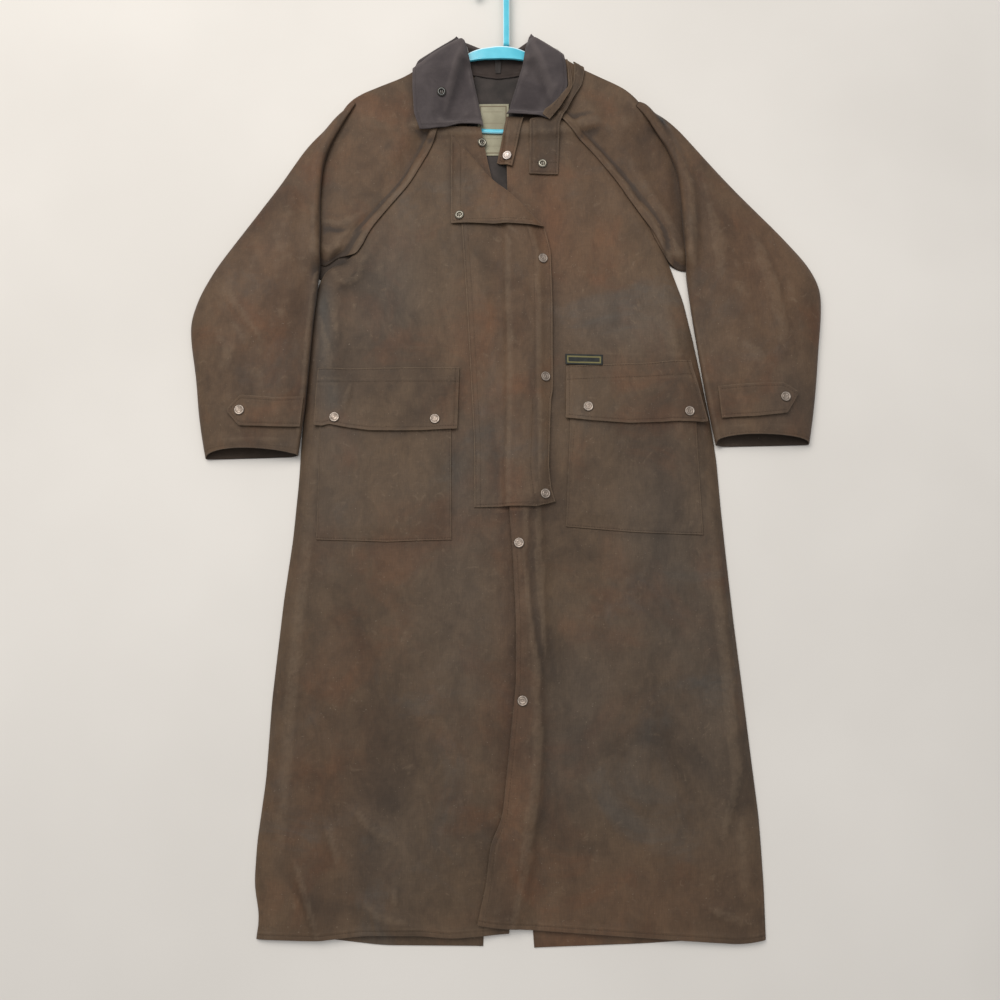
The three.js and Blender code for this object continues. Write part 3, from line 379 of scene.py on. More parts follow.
def shell_faces(outer, inner):
    """Points and quads of a sheet with a rounded rim between an outer and an inner grid."""
    rows, columns = outer.shape[:2]
    outer, inner = outer.copy(), inner.copy()
    border = border_of(rows, columns)
    r, c = border[:, 0], border[:, 1]
    inward_r = np.where(r == 0, 1, np.where(r == rows - 1, rows - 2, r))
    inward_c = np.where(c == 0, 1, np.where(c == columns - 1, columns - 2, c))
    middle = (outer[r, c] + inner[r, c]) / 2
    for grid in (outer, inner):
        step = grid[inward_r, inward_c] - grid[r, c]
        size = np.linalg.norm(step[:, :2], axis=1, keepdims=True)
        inset = np.minimum(0.45, 0.4 * size) / np.maximum(size, 1e-6)
        grid[r, c] = grid[r, c] + step * inset
    index = np.arange(rows * columns).reshape(rows, columns)
    below = index + rows * columns
    rim = 2 * rows * columns + np.arange(len(border))
    faces = [np.stack([index[:-1, :-1], index[:-1, 1:], index[1:, 1:], index[1:, :-1]], -1).reshape(-1, 4),
             np.stack([below[:-1, :-1], below[1:, :-1], below[1:, 1:], below[:-1, 1:]], -1).reshape(-1, 4)]
    edge, edge_below = index[r, c], below[r, c]
    after = np.roll(np.arange(len(border)), -1)
    faces.append(np.stack([edge[after], edge, rim, rim[after]], -1))
    faces.append(np.stack([rim[after], rim, edge_below, edge_below[after]], -1))
    points = np.concatenate([outer.reshape(-1, 3), inner.reshape(-1, 3), middle])
    return points, np.concatenate(faces), border


def ring_faces(outer, inner):
    """Points and quads of a tube wall, open at both ends, with rounded rims there."""
    rows, columns = outer.shape[:2]
    index = np.arange(rows * columns).reshape(rows, columns)
    below = index + rows * columns
    following = np.roll(np.arange(columns), -1)
    outside = np.stack([index[:-1], index[:-1, following], index[1:, following], index[1:]], -1)
    inside = np.stack([below[:-1], below[1:], below[1:, following], below[:-1, following]], -1)
    faces = [outside.reshape(-1, 4), inside.reshape(-1, 4)]
    points = [outer.reshape(-1, 3), inner.reshape(-1, 3)]
    start = 2 * rows * columns
    for end, inward in ((0, 1), (rows - 1, rows - 2)):
        middle = (outer[end] + inner[end]) / 2
        away = outer[end] - outer[inward]
        middle = middle + away / np.maximum(np.linalg.norm(away, axis=1, keepdims=True), 1e-6) * 0.5
        rim = start + np.arange(columns)
        start += columns
        points.append(middle)
        one = np.stack([index[end, following], index[end], rim, rim[following]], -1)
        two = np.stack([rim[following], rim, below[end], below[end, following]], -1)
        faces += [one, two] if end else [one[:, ::-1], two[:, ::-1]]
    return np.concatenate(points), np.concatenate(faces)


def box_blur(field, reach, wrap=False):
    for axis in (0, 1):
        pad = [(reach, reach) if k == axis else (0, 0) for k in (0, 1)]
        mode = "wrap" if wrap and axis == 1 else "edge"
        padded = np.pad(field, pad, mode=mode)
        size = field.shape[axis]
        parts = [(padded[k:k + size] if axis == 0 else padded[:, k:k + size]) for k in range(2 * reach + 1)]
        field = sum(parts) / len(parts)
    return field


def wear_and_shade_of(heights, edge=None, wrap=False):
    """How much each point stands out from the cloth round it: above 0 for rubbed wear on raised cloth, below
    0 for painted shade in the hollows.
    """
    small = heights - box_blur(heights, 2, wrap)
    wear_and_painted_light = clamp(small * 1.3, -0.8, 0.5)
    if edge is not None:
        wear_and_painted_light = np.maximum(wear_and_painted_light, edge)
    return wear_and_painted_light


BODY = "root"


def dress(piece, nodes, slot, flat=None, held="laid", rests_on=(), area=None, with_pieces=()):
    """Parents a piece to the body and hides the CAD nodes that it stands for."""
    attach(piece, BODY)
    if nodes:
        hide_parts(*nodes)


# Materials

def srgb(red, green, blue):
    """A colour of 0 to 255 as the screen shows it, in the linear form that shaders take."""
    shares = [value / 255 for value in (red, green, blue)]
    return tuple(s / 12.92 if s <= 0.04045 else ((s + 0.055) / 1.055) ** 2.4 for s in shares) + (1.0,)


class Finish:
    """A node material that is built up step by step."""

    def __init__(self, name, roughness=0.6, **sockets):
        self.material = bpy.data.materials.new(name)
        self.material.use_nodes = True
        self.tree = self.material.node_tree
        self.shader = self.tree.nodes["Principled BSDF"]
        self.shader.inputs["Roughness"].default_value = roughness
        for socket, value in sockets.items():
            self.shader.inputs[socket.replace("_", " ")].default_value = value
        self.place = self.add("ShaderNodeTexCoord").outputs["Object"]

    def add(self, kind, **settings):
        node = self.tree.nodes.new(kind)
        for key, value in settings.items():
            setattr(node, key, value)
        return node

    def put(self, socket, value):
        if isinstance(value, bpy.types.NodeSocket):
            self.tree.links.new(value, socket)
        else:
            socket.default_value = value

    def mapped(self, stretch, offset=(0, 0, 0), turn=0.0):
        node = self.add("ShaderNodeMapping")
        self.put(node.inputs["Vector"], self.place)
        node.inputs["Scale"].default_value = stretch
        node.inputs["Location"].default_value = offset
        node.inputs["Rotation"].default_value = (0, 0, turn)
        return node.outputs["Vector"]

    def noise(self, scale, detail=4.0, roughness=0.55, stretch=(1, 1, 1), offset=(0, 0, 0), warp=0.0):
        node = self.add("ShaderNodeTexNoise")
        self.put(node.inputs["Vector"], self.mapped(stretch, offset))
        node.inputs["Scale"].default_value = scale
        node.inputs["Detail"].default_value = detail
        node.inputs["Roughness"].default_value = roughness
        node.inputs["Distortion"].default_value = warp
        return node.outputs["Fac"]

    def bands(self, period, direction, warp=0.0):
        node = self.add("ShaderNodeTexWave", wave_type="BANDS", bands_direction=direction)
        self.put(node.inputs["Vector"], self.place)
        node.inputs["Scale"].default_value = 2 * math.pi / (20 * period)
        node.inputs["Distortion"].default_value = warp
        return node.outputs["Fac"]

    def attribute(self, name):
        return self.add("ShaderNodeAttribute", attribute_name=name).outputs["Fac"]

    def ranged(self, value, low, high, to_low=0.0, to_high=1.0):
        node = self.add("ShaderNodeMapRange", interpolation_type="SMOOTHSTEP")
        self.put(node.inputs["Value"], value)
        for key, number in zip(("From Min", "From Max", "To Min", "To Max"), (low, high, to_low, to_high)):
            node.inputs[key].default_value = number
        return node.outputs["Result"]

    def math(self, operation, a, b=0.0, limited=False):
        node = self.add("ShaderNodeMath", operation=operation, use_clamp=limited)
        self.put(node.inputs[0], a)
        self.put(node.inputs[1], b)
        return node.outputs["Value"]

    def blend(self, share, a, b, kind="MIX"):
        node = self.add("ShaderNodeMix", data_type="RGBA", blend_type=kind)
        self.put(node.inputs["Factor"], share)
        colours = [socket for socket in node.inputs if socket.type == "RGBA"]
        self.put(colours[0], a)
        self.put(colours[1], b)
        return next(socket for socket in node.outputs if socket.type == "RGBA")

    def scaled(self, colour, factor):
        """The colour made darker or lighter by a factor that varies over the surface."""
        node = self.add("ShaderNodeVectorMath", operation="SCALE")
        self.put(node.inputs[0], colour)
        self.put(node.inputs["Scale"], factor)
        return node.outputs["Vector"]

    def bump(self, height, distance, strength=1.0, under=None):
        node = self.add("ShaderNodeBump")
        self.put(node.inputs["Height"], height)
        node.inputs["Distance"].default_value = distance
        node.inputs["Strength"].default_value = strength
        if under is not None:
            self.put(node.inputs["Normal"], under)
        return node.outputs["Normal"]

    def finish(self, colour=None, roughness=None, normal=None):
        if colour is not None:
            self.put(self.shader.inputs["Base Color"], colour)
        if roughness is not None:
            self.put(self.shader.inputs["Roughness"], roughness)
        if normal is not None:
            self.put(self.shader.inputs["Normal"], normal)
        return self.material


def woven(finish, pitch, depth, strength=0.6):
    """A plain weave's bump of that thread pitch, in metres."""
    warp = finish.bands(pitch, "X", 0.6)
    weft = finish.bands(pitch * 1.15, "Y", 0.6)
    cloth = finish.math("MAXIMUM", warp, weft)
    return finish.bump(cloth, depth, strength)


WAXED_BROWN = srgb(80, 62, 44)
WAXED_DARK = srgb(56, 43, 32)
WAXED_RUST = srgb(91, 58, 35)
WAXED_GREY = srgb(72, 68, 62)
WAXED_WORN = srgb(113, 94, 74)
# Painted shade colour for the hollows of creases
WAXED_HOLLOW_SHADE = srgb(42, 33, 26)


def waxed_cloth(name, tint=1.0, offset=(0, 0, 0)):
    finish = Finish(name, Specular_IOR_Level=0.3, Sheen_Weight=0.05, Sheen_Roughness=0.5)
    patches = finish.noise(7.0, 6, 0.62, stretch=(1, 0.75, 1), offset=offset, warp=0.7)
    colour = finish.blend(finish.ranged(patches, 0.44, 0.66, 0, 0.62), WAXED_BROWN, WAXED_DARK)
    reds = finish.noise(9.0, 5, 0.6, offset=(3.1, 1.7, 0.4), warp=0.5)
    red_share = finish.math("ADD", finish.ranged(reds, 0.48, 0.7, 0, 0.45), finish.attribute("rust"), True)
    colour = finish.blend(red_share, colour, WAXED_RUST)
    greys = finish.noise(6.0, 6, 0.65, offset=(7.3, 4.1, 2.2), warp=0.8)
    grey_share = finish.math("ADD", finish.ranged(greys, 0.52, 0.74, 0, 0.45), finish.attribute("grey"), True)
    colour = finish.blend(grey_share, colour, WAXED_GREY)
    smears = finish.noise(34.0, 8, 0.72, stretch=(1, 0.6, 1), warp=0.4)
    colour = finish.scaled(colour, finish.ranged(smears, 0.32, 0.68, 0.82 * tint, 1.15 * tint))
    scuffs = finish.ranged(finish.noise(62.0, 7, 0.7, offset=(1.3, 6.2, 3.4), warp=0.8), 0.58, 0.72, 0, 0.3)
    colour = finish.blend(scuffs, colour, WAXED_WORN)
    grain = finish.noise(900.0, 2, 0.6, stretch=(1, 0.08, 1))
    colour = finish.scaled(colour, finish.ranged(grain, 0.3, 0.7, 0.93, 1.07))
    cross_grain = finish.noise(700.0, 2, 0.6, stretch=(0.1, 1, 1))
    colour = finish.scaled(colour, finish.ranged(cross_grain, 0.3, 0.7, 0.96, 1.04))
    # Colour spots together with painted shade along creases and beside edges, as one factor
    tone_and_shade = finish.attribute("tone_and_shade")
    colour = finish.scaled(colour, finish.math("ADD", tone_and_shade, 1.0))
    wear_and_painted_light = finish.attribute("wear_and_painted_light")
    rubbed = finish.math("MULTIPLY", finish.ranged(wear_and_painted_light, 0.1, 0.9, 0, 0.5),
                         finish.ranged(finish.noise(120.0, 5, 0.7), 0.3, 0.62, 0.3, 1))
    colour = finish.blend(rubbed, colour, WAXED_WORN)
    # Painted shade in the hollows, where the wear attribute is below 0
    crease_hollow_shade = finish.ranged(wear_and_painted_light, -0.08, -0.9, 0, 0.7)
    colour = finish.blend(crease_hollow_shade, colour, WAXED_HOLLOW_SHADE)
    flecks = finish.ranged(finish.noise(420.0, 1, 0.4), 0.755, 0.79, 0, 0.4)
    colour = finish.blend(flecks, colour, srgb(132, 117, 99))
    gloss = finish.ranged(patches, 0.3, 0.7, 0.62, 0.74)
    normal = woven(finish, 0.0011, 0.00022, 0.55)
    normal = finish.bump(finish.noise(95.0, 5, 0.6), 0.0014, 0.5, normal)
    normal = finish.bump(finish.noise(24.0, 3, 0.5, stretch=(1, 0.7, 1), warp=0.6), 0.005, 0.45, normal)
    return finish.finish(colour, gloss, normal)


def brushed_cloth(name, light, dark):
    """The collar's soft brushed cloth."""
    finish = Finish(name, Specular_IOR_Level=0.15, Sheen_Weight=0.25, Sheen_Roughness=0.6)
    finish.shader.inputs["Sheen Tint"].default_value = srgb(170, 160, 158)
    cloud = finish.noise(16.0, 5, 0.6, warp=0.5)
    colour = finish.blend(finish.ranged(cloud, 0.36, 0.66), light, dark)
    nap = finish.noise(1500.0, 3, 0.7)
    colour = finish.scaled(colour, finish.ranged(nap, 0.28, 0.72, 0.84, 1.16))
    smears = finish.noise(70.0, 6, 0.7)
    colour = finish.scaled(colour, finish.ranged(smears, 0.3, 0.7, 0.93, 1.07))
    wear_and_painted_light = finish.attribute("wear_and_painted_light")
    colour = finish.blend(finish.ranged(wear_and_painted_light, 0.1, 0.9, 0, 0.35), colour, srgb(104, 94, 90))
    # Painted shade in the collar's hollows, where the wear attribute is below 0
    colour = finish.blend(finish.ranged(wear_and_painted_light, -0.1, -0.9, 0, 0.6), colour, srgb(36, 31, 30))
    normal = finish.bump(finish.noise(1100.0, 3, 0.7), 0.0003, 0.6)
    normal = finish.bump(finish.noise(60.0, 4, 0.6), 0.0014, 0.3, normal)
    return finish.finish(colour, finish.ranged(cloud, 0.3, 0.7, 0.84, 0.92), normal)


def lining_cloth(name):
    finish = Finish(name, Specular_IOR_Level=0.25, Sheen_Weight=0.1)
    cloud = finish.noise(20.0, 5, 0.6)
    colour = finish.blend(finish.ranged(cloud, 0.35, 0.66), srgb(58, 51, 47), srgb(40, 35, 32))
    threads = finish.math("MAXIMUM", finish.bands(0.0016, "X", 0.4), finish.bands(0.0016, "Y", 0.4))
    colour = finish.scaled(colour, finish.ranged(threads, 0.2, 1.0, 0.85, 1.1))
    normal = woven(finish, 0.0016, 0.0003, 0.7)
    return finish.finish(colour, 0.8, normal)


def label_cloth(name):
    finish = Finish(name, Specular_IOR_Level=0.3, Sheen_Weight=0.1)
    cloud = finish.noise(26.0, 5, 0.6)
    colour = finish.blend(finish.ranged(cloud, 0.35, 0.66), srgb(150, 144, 121), srgb(133, 127, 105))
    threads = finish.bands(0.0009, "Y", 0.3)
    colour = finish.scaled(colour, finish.ranged(threads, 0.1, 0.9, 0.9, 1.04))
    border = finish.attribute("border")
    colour = finish.blend(finish.ranged(border, 0.3, 0.7, 0, 0.8), colour, srgb(92, 76, 56))
    normal = woven(finish, 0.0009, 0.0002, 0.6)
    return finish.finish(colour, 0.7, normal)


def patch_cloth(name):
    finish = Finish(name, Specular_IOR_Level=0.3)
    cloud = finish.noise(90.0, 5, 0.6)
    colour = finish.blend(finish.ranged(cloud, 0.35, 0.66), srgb(46, 47, 44), srgb(32, 34, 33))
    border = finish.attribute("border")
    colour = finish.blend(finish.ranged(border, 0.3, 0.7, 0, 0.85), colour, srgb(120, 112, 70))
    normal = woven(finish, 0.0008, 0.0003, 0.7)
    return finish.finish(colour, 0.75, normal)


def snap_metal(name, light, dark):
    finish = Finish(name, Metallic=0.85)
    tarnish = finish.noise(260.0, 6, 0.7)
    colour = finish.blend(finish.ranged(tarnish, 0.35, 0.65), light, dark)
    # Painted shade in the hollows and round the foot, and a painted glint on the raised rings
    metal_shade = finish.ranged(finish.attribute("wear_and_painted_light"), -0.1, -0.7, 0, 0.9)
    colour = finish.blend(metal_shade, colour, srgb(40, 32, 26))
    metal_glint = finish.ranged(finish.attribute("wear_and_painted_light"), 0.2, 0.9, 0, 0.4)
    colour = finish.blend(metal_glint, colour, srgb(214, 206, 194))
    normal = finish.bump(finish.noise(1400.0, 3, 0.6), 0.00008, 0.4)
    return finish.finish(colour, finish.ranged(tarnish, 0.3, 0.7, 0.36, 0.54), normal)


def hanger_plastic(name):
    finish = Finish(name, Specular_IOR_Level=0.5, Coat_Weight=0.25, Coat_Roughness=0.2)
    cloud = finish.noise(30.0, 3, 0.5)
    colour = finish.blend(finish.ranged(cloud, 0.3, 0.7), srgb(66, 170, 190), srgb(84, 186, 204))
    # Painted white highlight along the rims and painted shade in the groove
    rim = finish.ranged(finish.attribute("wear_and_painted_light"), 0.2, 0.9, 0, 0.75)
    colour = finish.blend(rim, colour, srgb(226, 244, 248))
    plastic_groove_shade = finish.ranged(finish.attribute("wear_and_painted_light"), -0.1, -0.8, 0, 0.5)
    colour = finish.blend(plastic_groove_shade, colour, srgb(34, 128, 150))
    normal = finish.bump(finish.noise(500.0, 3, 0.6), 0.0001, 0.3)
    return finish.finish(colour, finish.ranged(cloud, 0.3, 0.7, 0.26, 0.36), normal)


def thread(name, light, dark):
    finish = Finish(name, Specular_IOR_Level=0.3)
    twist = finish.noise(2400.0, 2, 0.5)
    colour = finish.blend(finish.ranged(twist, 0.3, 0.7), light, dark)
    return finish.finish(colour, 0.7, finish.bump(twist, 0.0001, 0.5))


def pale_floor(name):
    finish = Finish(name, Specular_IOR_Level=0.25)
    cloud = finish.noise(1.6, 4, 0.5)
    colour = finish.blend(finish.ranged(cloud, 0.3, 0.7), srgb(212, 206, 198), srgb(204, 198, 190))
    normal = finish.bump(finish.noise(140.0, 4, 0.6), 0.0004, 0.2)
    return finish.finish(colour, 0.7, normal)


MATERIALS = {
    "cloth": waxed_cloth("waxed_cloth"),
    "reverse": waxed_cloth("waxed_cloth_reverse", 1.04, (5, 2, 1)),
    # A darker copy of the waxed cloth: painted shade for the throat strap under the collar
    "strap": waxed_cloth("waxed_cloth_strap", 0.68, (2, 7, 3)),
    "collar": brushed_cloth("brushed_collar", srgb(71, 64, 63), srgb(58, 52, 52)),
    # A darker copy of the collar cloth: painted shade for the collar stand lying in shadow behind the hanger
    "stand": brushed_cloth("brushed_collar_stand", srgb(52, 43, 38), srgb(40, 33, 29)),
    "lining": lining_cloth("lining"),
    "label": label_cloth("label"),
    "patch": patch_cloth("patch"),
    "cap": snap_metal("snap_cap", srgb(150, 136, 124), srgb(112, 99, 88)),
    "bright_cap": snap_metal("snap_cap_bright", srgb(184, 172, 164), srgb(150, 138, 130)),
    "socket": snap_metal("snap_socket", srgb(196, 190, 172), srgb(150, 142, 124)),
    "dull_socket": snap_metal("snap_socket_dull", srgb(96, 100, 98), srgb(74, 76, 75)),
    "plastic": hanger_plastic("hanger_plastic"),
    "thread": thread("thread", srgb(82, 66, 50), srgb(56, 44, 34)),
    "collar_thread": thread("collar_thread", srgb(70, 62, 58), srgb(54, 48, 45)),
    "floor": pale_floor("pale_floor"),
}


# Colour of the worn cloth, and painted shade in its darkest spots: soft spots (x, y, radius across, radius
# along, amount)

TONE_AND_SHADE_SPOTS = [
    (-140, -300, 170, 260, -0.10), (200, -330, 150, 240, -0.12), (0, -560, 340, 40, 0.04),
    (-140, 300, 90, 130, 0.05), (190, 330, 80, 130, 0.06), (-350, 330, 70, 120, 0.05),
    (395, 300, 60, 170, 0.03), (160, 260, 90, 36, 0.10), (-20, 300, 60, 160, 0.02),
    (-300, 150, 22, 200, -0.14), (300, 260, 20, 160, -0.12), (330, 480, 60, 60, -0.05),
    (-250, -200, 50, 300, -0.08), (320, -150, 40, 300, -0.08), (60, -240, 40, 150, -0.12),
    (232, 510, 30, 70, -0.08), (-220, 560, 70, 60, 0.04), (-170, 70, 100, 90, 0.0),
    (190, 40, 90, 80, -0.04), (0, 470, 50, 60, 0.03), (-306, -562, 20, 30, 0.14), (-312, -440, 24, 60, 0.08),
    # Painted shadow at (-240, 367), (-277, 350) and (254, 607) in underarm holes and gaps, at (-300, 88)
    # under the left cuff tab and at (66, 600) on the strap under the collar
    (344, -584, 14, 16, 0.12), (20, -420, 26, 90, 0.14), (-240, 367, 14, 8, -0.75), (-246, 398, 24, 12, 0.16),
    (-277, 350, 8, 13, -0.6), (254, 607, 9, 13, -0.5), (266, 378, 6, 14, 0.14), (-337, 127, 44, 22, 0.14),
    (370, 143, 46, 24, 0.1), (75, 660, 34, 50, 0.08), (-300, 88, 30, 10, -0.16), (-290, 162, 16, 8, -0.14),
    (66, 600, 34, 26, -0.16), (-340, 330, 60, 110, -0.08), (150, 330, 70, 90, 0.1),
    (-330, 420, 50, 90, -0.04),
]
REDDISH = [
    (120, 380, 70, 120, 0.28), (80, 440, 24, 70, 0.5), (200, -540, 150, 60, 0.25), (20, -200, 26, 220, 0.3),
    (-330, 300, 60, 140, 0.15), (-250, -430, 70, 160, 0.2), (20, 470, 40, 60, 0.2), (390, 380, 60, 120, 0.12),
    (-20, 560, 40, 50, 0.25), (-370, 330, 120, 240, 0.14), (390, 330, 120, 250, 0.2),
    (-200, 540, 90, 100, 0.16), (200, 560, 100, 100, 0.16), (10, 200, 60, 190, 0.18), (260, 470, 30, 60, 0.2),
    (16, -430, 24, 90, 0.3),
]
GREYISH = [
    (-170, 320, 60, 110, 0.35), (180, 270, 90, 50, 0.4), (230, -80, 70, 180, 0.3), (-60, -140, 70, 200, 0.2),
    (290, -300, 50, 160, 0.25), (-240, 60, 40, 160, 0.2), (420, 150, 40, 70, 0.2), (-20, 60, 60, 80, 0.2),
    (100, -360, 60, 80, 0.25), (-262, 240, 15, 80, 0.55), (-268, 300, 12, 30, 0.5), (-150, -480, 60, 90, 0.2),
    (-244, 150, 12, 30, 0.4), (120, -260, 60, 70, 0.2), (-60, 30, 14, 60, 0.2),
]
# Painted shade along creases and the shadows cast beside raised edges, and one painted highlight: path, width
# to its left, width to its right, tone
CREASE_SHADE_LINES = [
    (((-243, -594), (-247, -566), (-267, -536), (-291, -512)), 3, 30, -0.34),
    (((-263, -532), (-235, -544), (-203, -549), (-144, -557), (-107, -574)), 4, 18, -0.2),
    (((-188, -429), (-167, -449), (-146, -464)), 4, 7, -0.24),
    (((-246, -438), (-228, -462), (-216, -493)), 4, 11, -0.2),
    (((-308, -453), (-281, -433), (-254, -429), (-212, -427)), 9, 6, -0.14),
    (((-139, -519), (-137, -544)), 14, 4, -0.16),
    (((59, -336), (63, -386), (58, -435), (35, -484), (21, -527)), 13, 5, -0.28),
    (((44, -14), (44, -60), (43, -110), (48, -173), (58, -248), (59, -330)), 11, 4, -0.3),
    (((64, -173), (76, -248), (79, -290)), 9, 6, -0.18),
    (((13, -14), (18, -60), (20, -121), (22, -200), (19, -290), (11, -363), (3, -437), (-20, -510),
      (-30, -566)), 2, 16, -0.24),
    (((-36, -16), (10, -20), (56, -17), (80, -8)), 1, 12, -0.34),
    (((331, -371), (316, -404), (307, -436)), 6, 5, -0.4),
    (((300, -457), (291, -476)), 5, 5, -0.2),
    (((262, -566), (294, -559), (331, -547)), 14, 8, -0.18),
    (((-239, 262), (-239, 236), (-246, 219)), 5, 10, -0.3),
    (((-215, 181), (-221, 152), (-230, 127)), 4, 11, -0.3),
    (((-11, 136), (-8, 83), (-4, 43), (-4, -8)), 3, 6, -0.22),
    (((21, 231), (41, 210), (45, 152), (52, 132), (50, 59), (56, 11), (53, -4)), 9, 3, -0.3),
    (((45, 256), (53, 231), (47, 173)), 6, 5, -0.16),
    (((80, 383), (81, 300), (80, 163), (77, 147), (73, 48), (76, 14), (82, -5)), 10, 1, -0.3),
    (((-272, 418), (-252, 415), (-233, 429), (-209, 441)), 12, 3, -0.18),
    (((-241, 619), (-250, 597), (-260, 578), (-270, 556), (-274, 515), (-274, 461), (-271, 408), (-270, 369)),
     13, 3, -0.38),
    (((-209, 392), (-207, 372), (-214, 354), (-226, 339), (-244, 322), (-256, 307)), 13, 3, -0.28),
    # Painted highlight along the right shoulder's ridge
    (((211, 633), (233, 614), (252, 586), (264, 564)), 3, 5, 0.16),
    (((239, 624), (251, 608), (261, 580)), 5, 4, -0.4),
    (((262, 596), (266, 573), (271, 541), (273, 514), (276, 473), (278, 420), (280, 355)), 2, 15, -0.38),
    (((280, 500), (286, 447), (294, 381), (300, 304)), 4, 4, -0.2),
    (((247, 405), (255, 373), (258, 358)), 5, 5, -0.45),
    (((-345, 296), (-371, 260), (-384, 222)), 7, 12, -0.16),
    (((-398, 250), (-410, 215), (-418, 185)), 5, 8, -0.16),
    (((391, 398), (404, 350), (426, 300)), 8, 10, -0.12),
    (((-31, 590), (-60, 592), (-95, 582), (-125, 580)), 10, 2, -0.22),
    (((-138, 690), (-137, 640), (-131, 590)), 2, 10, -0.22),
    (((131, 700), (128, 658), (111, 634), (97, 608), (93, 560), (92, 512)), 6, 1, -0.24),
    (((-76, 570), (-76, 500), (-75, 431)), 1.5, 8, -0.28),
    (((-73, 429), (0, 428), (50, 424)), 1.5, 9, -0.28),
    (((-48, 548), (-14, 506), (10, 485), (38, 458)), 8, 1.5, -0.22),
    (((-272, 106), (-222, 99), (-108, 98), (-60, 101)), 1, 9, -0.26),
    (((96, 117), (188, 108), (298, 111)), 1, 9, -0.26),
    (((-58, 198), (-60, 104)), 7, 1, -0.22),
    (((96, 198), (95, 118)), 1, 8, -0.24),
    (((-264, 96), (-262, -58)), 1, 7, -0.22),
    (((-70, 96), (-67, -58)), 7, 1, -0.22),
    (((106, 104), (94, -40)), 1, 7, -0.22),
    (((288, 104), (291, -50)), 7, 1, -0.2),
    (((-262, -62), (-160, -65), (-69, -62)), 1, 8, -0.22),
    (((94, -43), (190, -51), (290, -55)), 1, 8, -0.22),
]


def spots(table, x, y):
    total = np.zeros_like(x)
    for at_x, at_y, across, down, amount in table:
        total += amount * np.exp(-((x - at_x) / across) ** 2 - ((y - at_y) / down) ** 2)
    return total


def painted_crease_shade(x, y):
    """The painted shade and highlight along the creases and edges, worked out only near each one."""
    total = np.zeros_like(x)
    for crease in CREASE_SHADE_LINES:
        path = line(*crease[0])
        reach = 2.6 * max(crease[1:3])
        low, high = path.min(0) - reach, path.max(0) + reach
        near = (x > low[0]) & (x < high[0]) & (y > low[1]) & (y < high[1])
        total[near] += fold_height([crease], x[near], y[near])
    return total


def colour_attributes(points, wear_and_painted_light):
    x, y = points[:, 0], points[:, 1]
    return {
        "wear_and_painted_light": wear_and_painted_light,
        "tone_and_shade": clamp(spots(TONE_AND_SHADE_SPOTS, x, y) + painted_crease_shade(x, y), -0.85, 0.4),
        "rust": spots(REDDISH, x, y),
        "grey": spots(GREYISH, x, y),
    }


# Laying of cloth

def lay_cloth(name, plan, nodes, slot, material, thick=CLOTH, softness=4.0, lift=None, relief=None,
              unevenness=0.5, seed=1, edge_wear=0.5, border=None, sheet=None):
    """One layer of cloth on the pile. lift and relief take the plan and give heights in mm."""
    x, y = plan[..., 0], plan[..., 1]
    distances = edge_distances(plan)
    nearest_edge = np.minimum.reduce(distances)
    height = draped(plan, softness) + GAP
    if lift is not None:
        height = height + lift(x, y, distances)
    if unevenness:
        calm = ease(nearest_edge / 30)
        rough = crumple(x, y, seed, unevenness)
        height = height + 0.5 * calm * (np.maximum(rough, -0.2) + rough + 1.6 * unevenness)
    shape = height.copy()
    if relief is not None:
        height = height + relief(x, y, distances)
    height = np.maximum(height, LOWEST)
    bottom = np.dstack([x, y, np.maximum(np.minimum(shape, height), LOWEST)])
    top = np.dstack([x, y, height + thick])
    edge = edge_wear * np.exp(-(nearest_edge / 1.6) ** 2)
    # Edge wear and rubbed ridges, with painted shade in the hollows where this is below 0
    wear_and_painted_light = wear_and_shade_of(top[..., 2], edge)
    points, faces, rim = shell_faces(top, bottom)
    rim_wear = np.full(len(rim), edge_wear)
    under_wear = np.zeros(bottom.shape[:2])
    all_wear_and_painted_light = np.concatenate([wear_and_painted_light.ravel(), under_wear.ravel(), rim_wear])
    attributes = colour_attributes(points, all_wear_and_painted_light)
    if border is not None:
        marks = border(distances)
        attributes["border"] = np.concatenate([marks.ravel(), np.zeros(marks.size), np.zeros(len(rim))])
    piece = add_mesh(name, points, faces, material, attributes)
    lay(top)
    if sheet is None:
        width = max(length_of(row) for row in (plan[0], plan[len(plan) // 2], plan[-1]))
        tall = max(length_of(plan[:, k]) for k in (0, plan.shape[1] // 2, plan.shape[1] - 1))
        sheet = {"flat": (width / 1000, tall / 1000)}
    if "area" not in sheet:
        sheet["area"] = flat_area(plan) / 1e6
    dress(piece, nodes, slot, **sheet)
    return piece


def flat_area(plan):
    a, b = plan[1:, 1:, :2] - plan[:-1, :-1, :2], plan[1:, :-1, :2] - plan[:-1, 1:, :2]
    return float(np.abs(a[..., 0] * b[..., 1] - a[..., 1] * b[..., 0]).sum() / 2)


def plan_between(left, right, step=GRID, fine=(True, True, True, True), radius=6):
    """A grid between two lines that run side by side. fine: hems at left, right, first, last."""
    left, right = rounded(left, radius), rounded(right, radius)
    tall = (length_of(left) + length_of(right)) / 2
    places = np.array([0.1, 0.5, 0.9])
    wide = np.hypot(*(along(left, places) - along(right, places)).T).max()
    rows = edge_steps(tall, step, fine[2:])
    columns = edge_steps(wide, step, fine[:2])
    a, b = along(left, rows)[:, None, :], along(right, rows)[:, None, :]
    return a + (b - a) * columns[None, :, None]


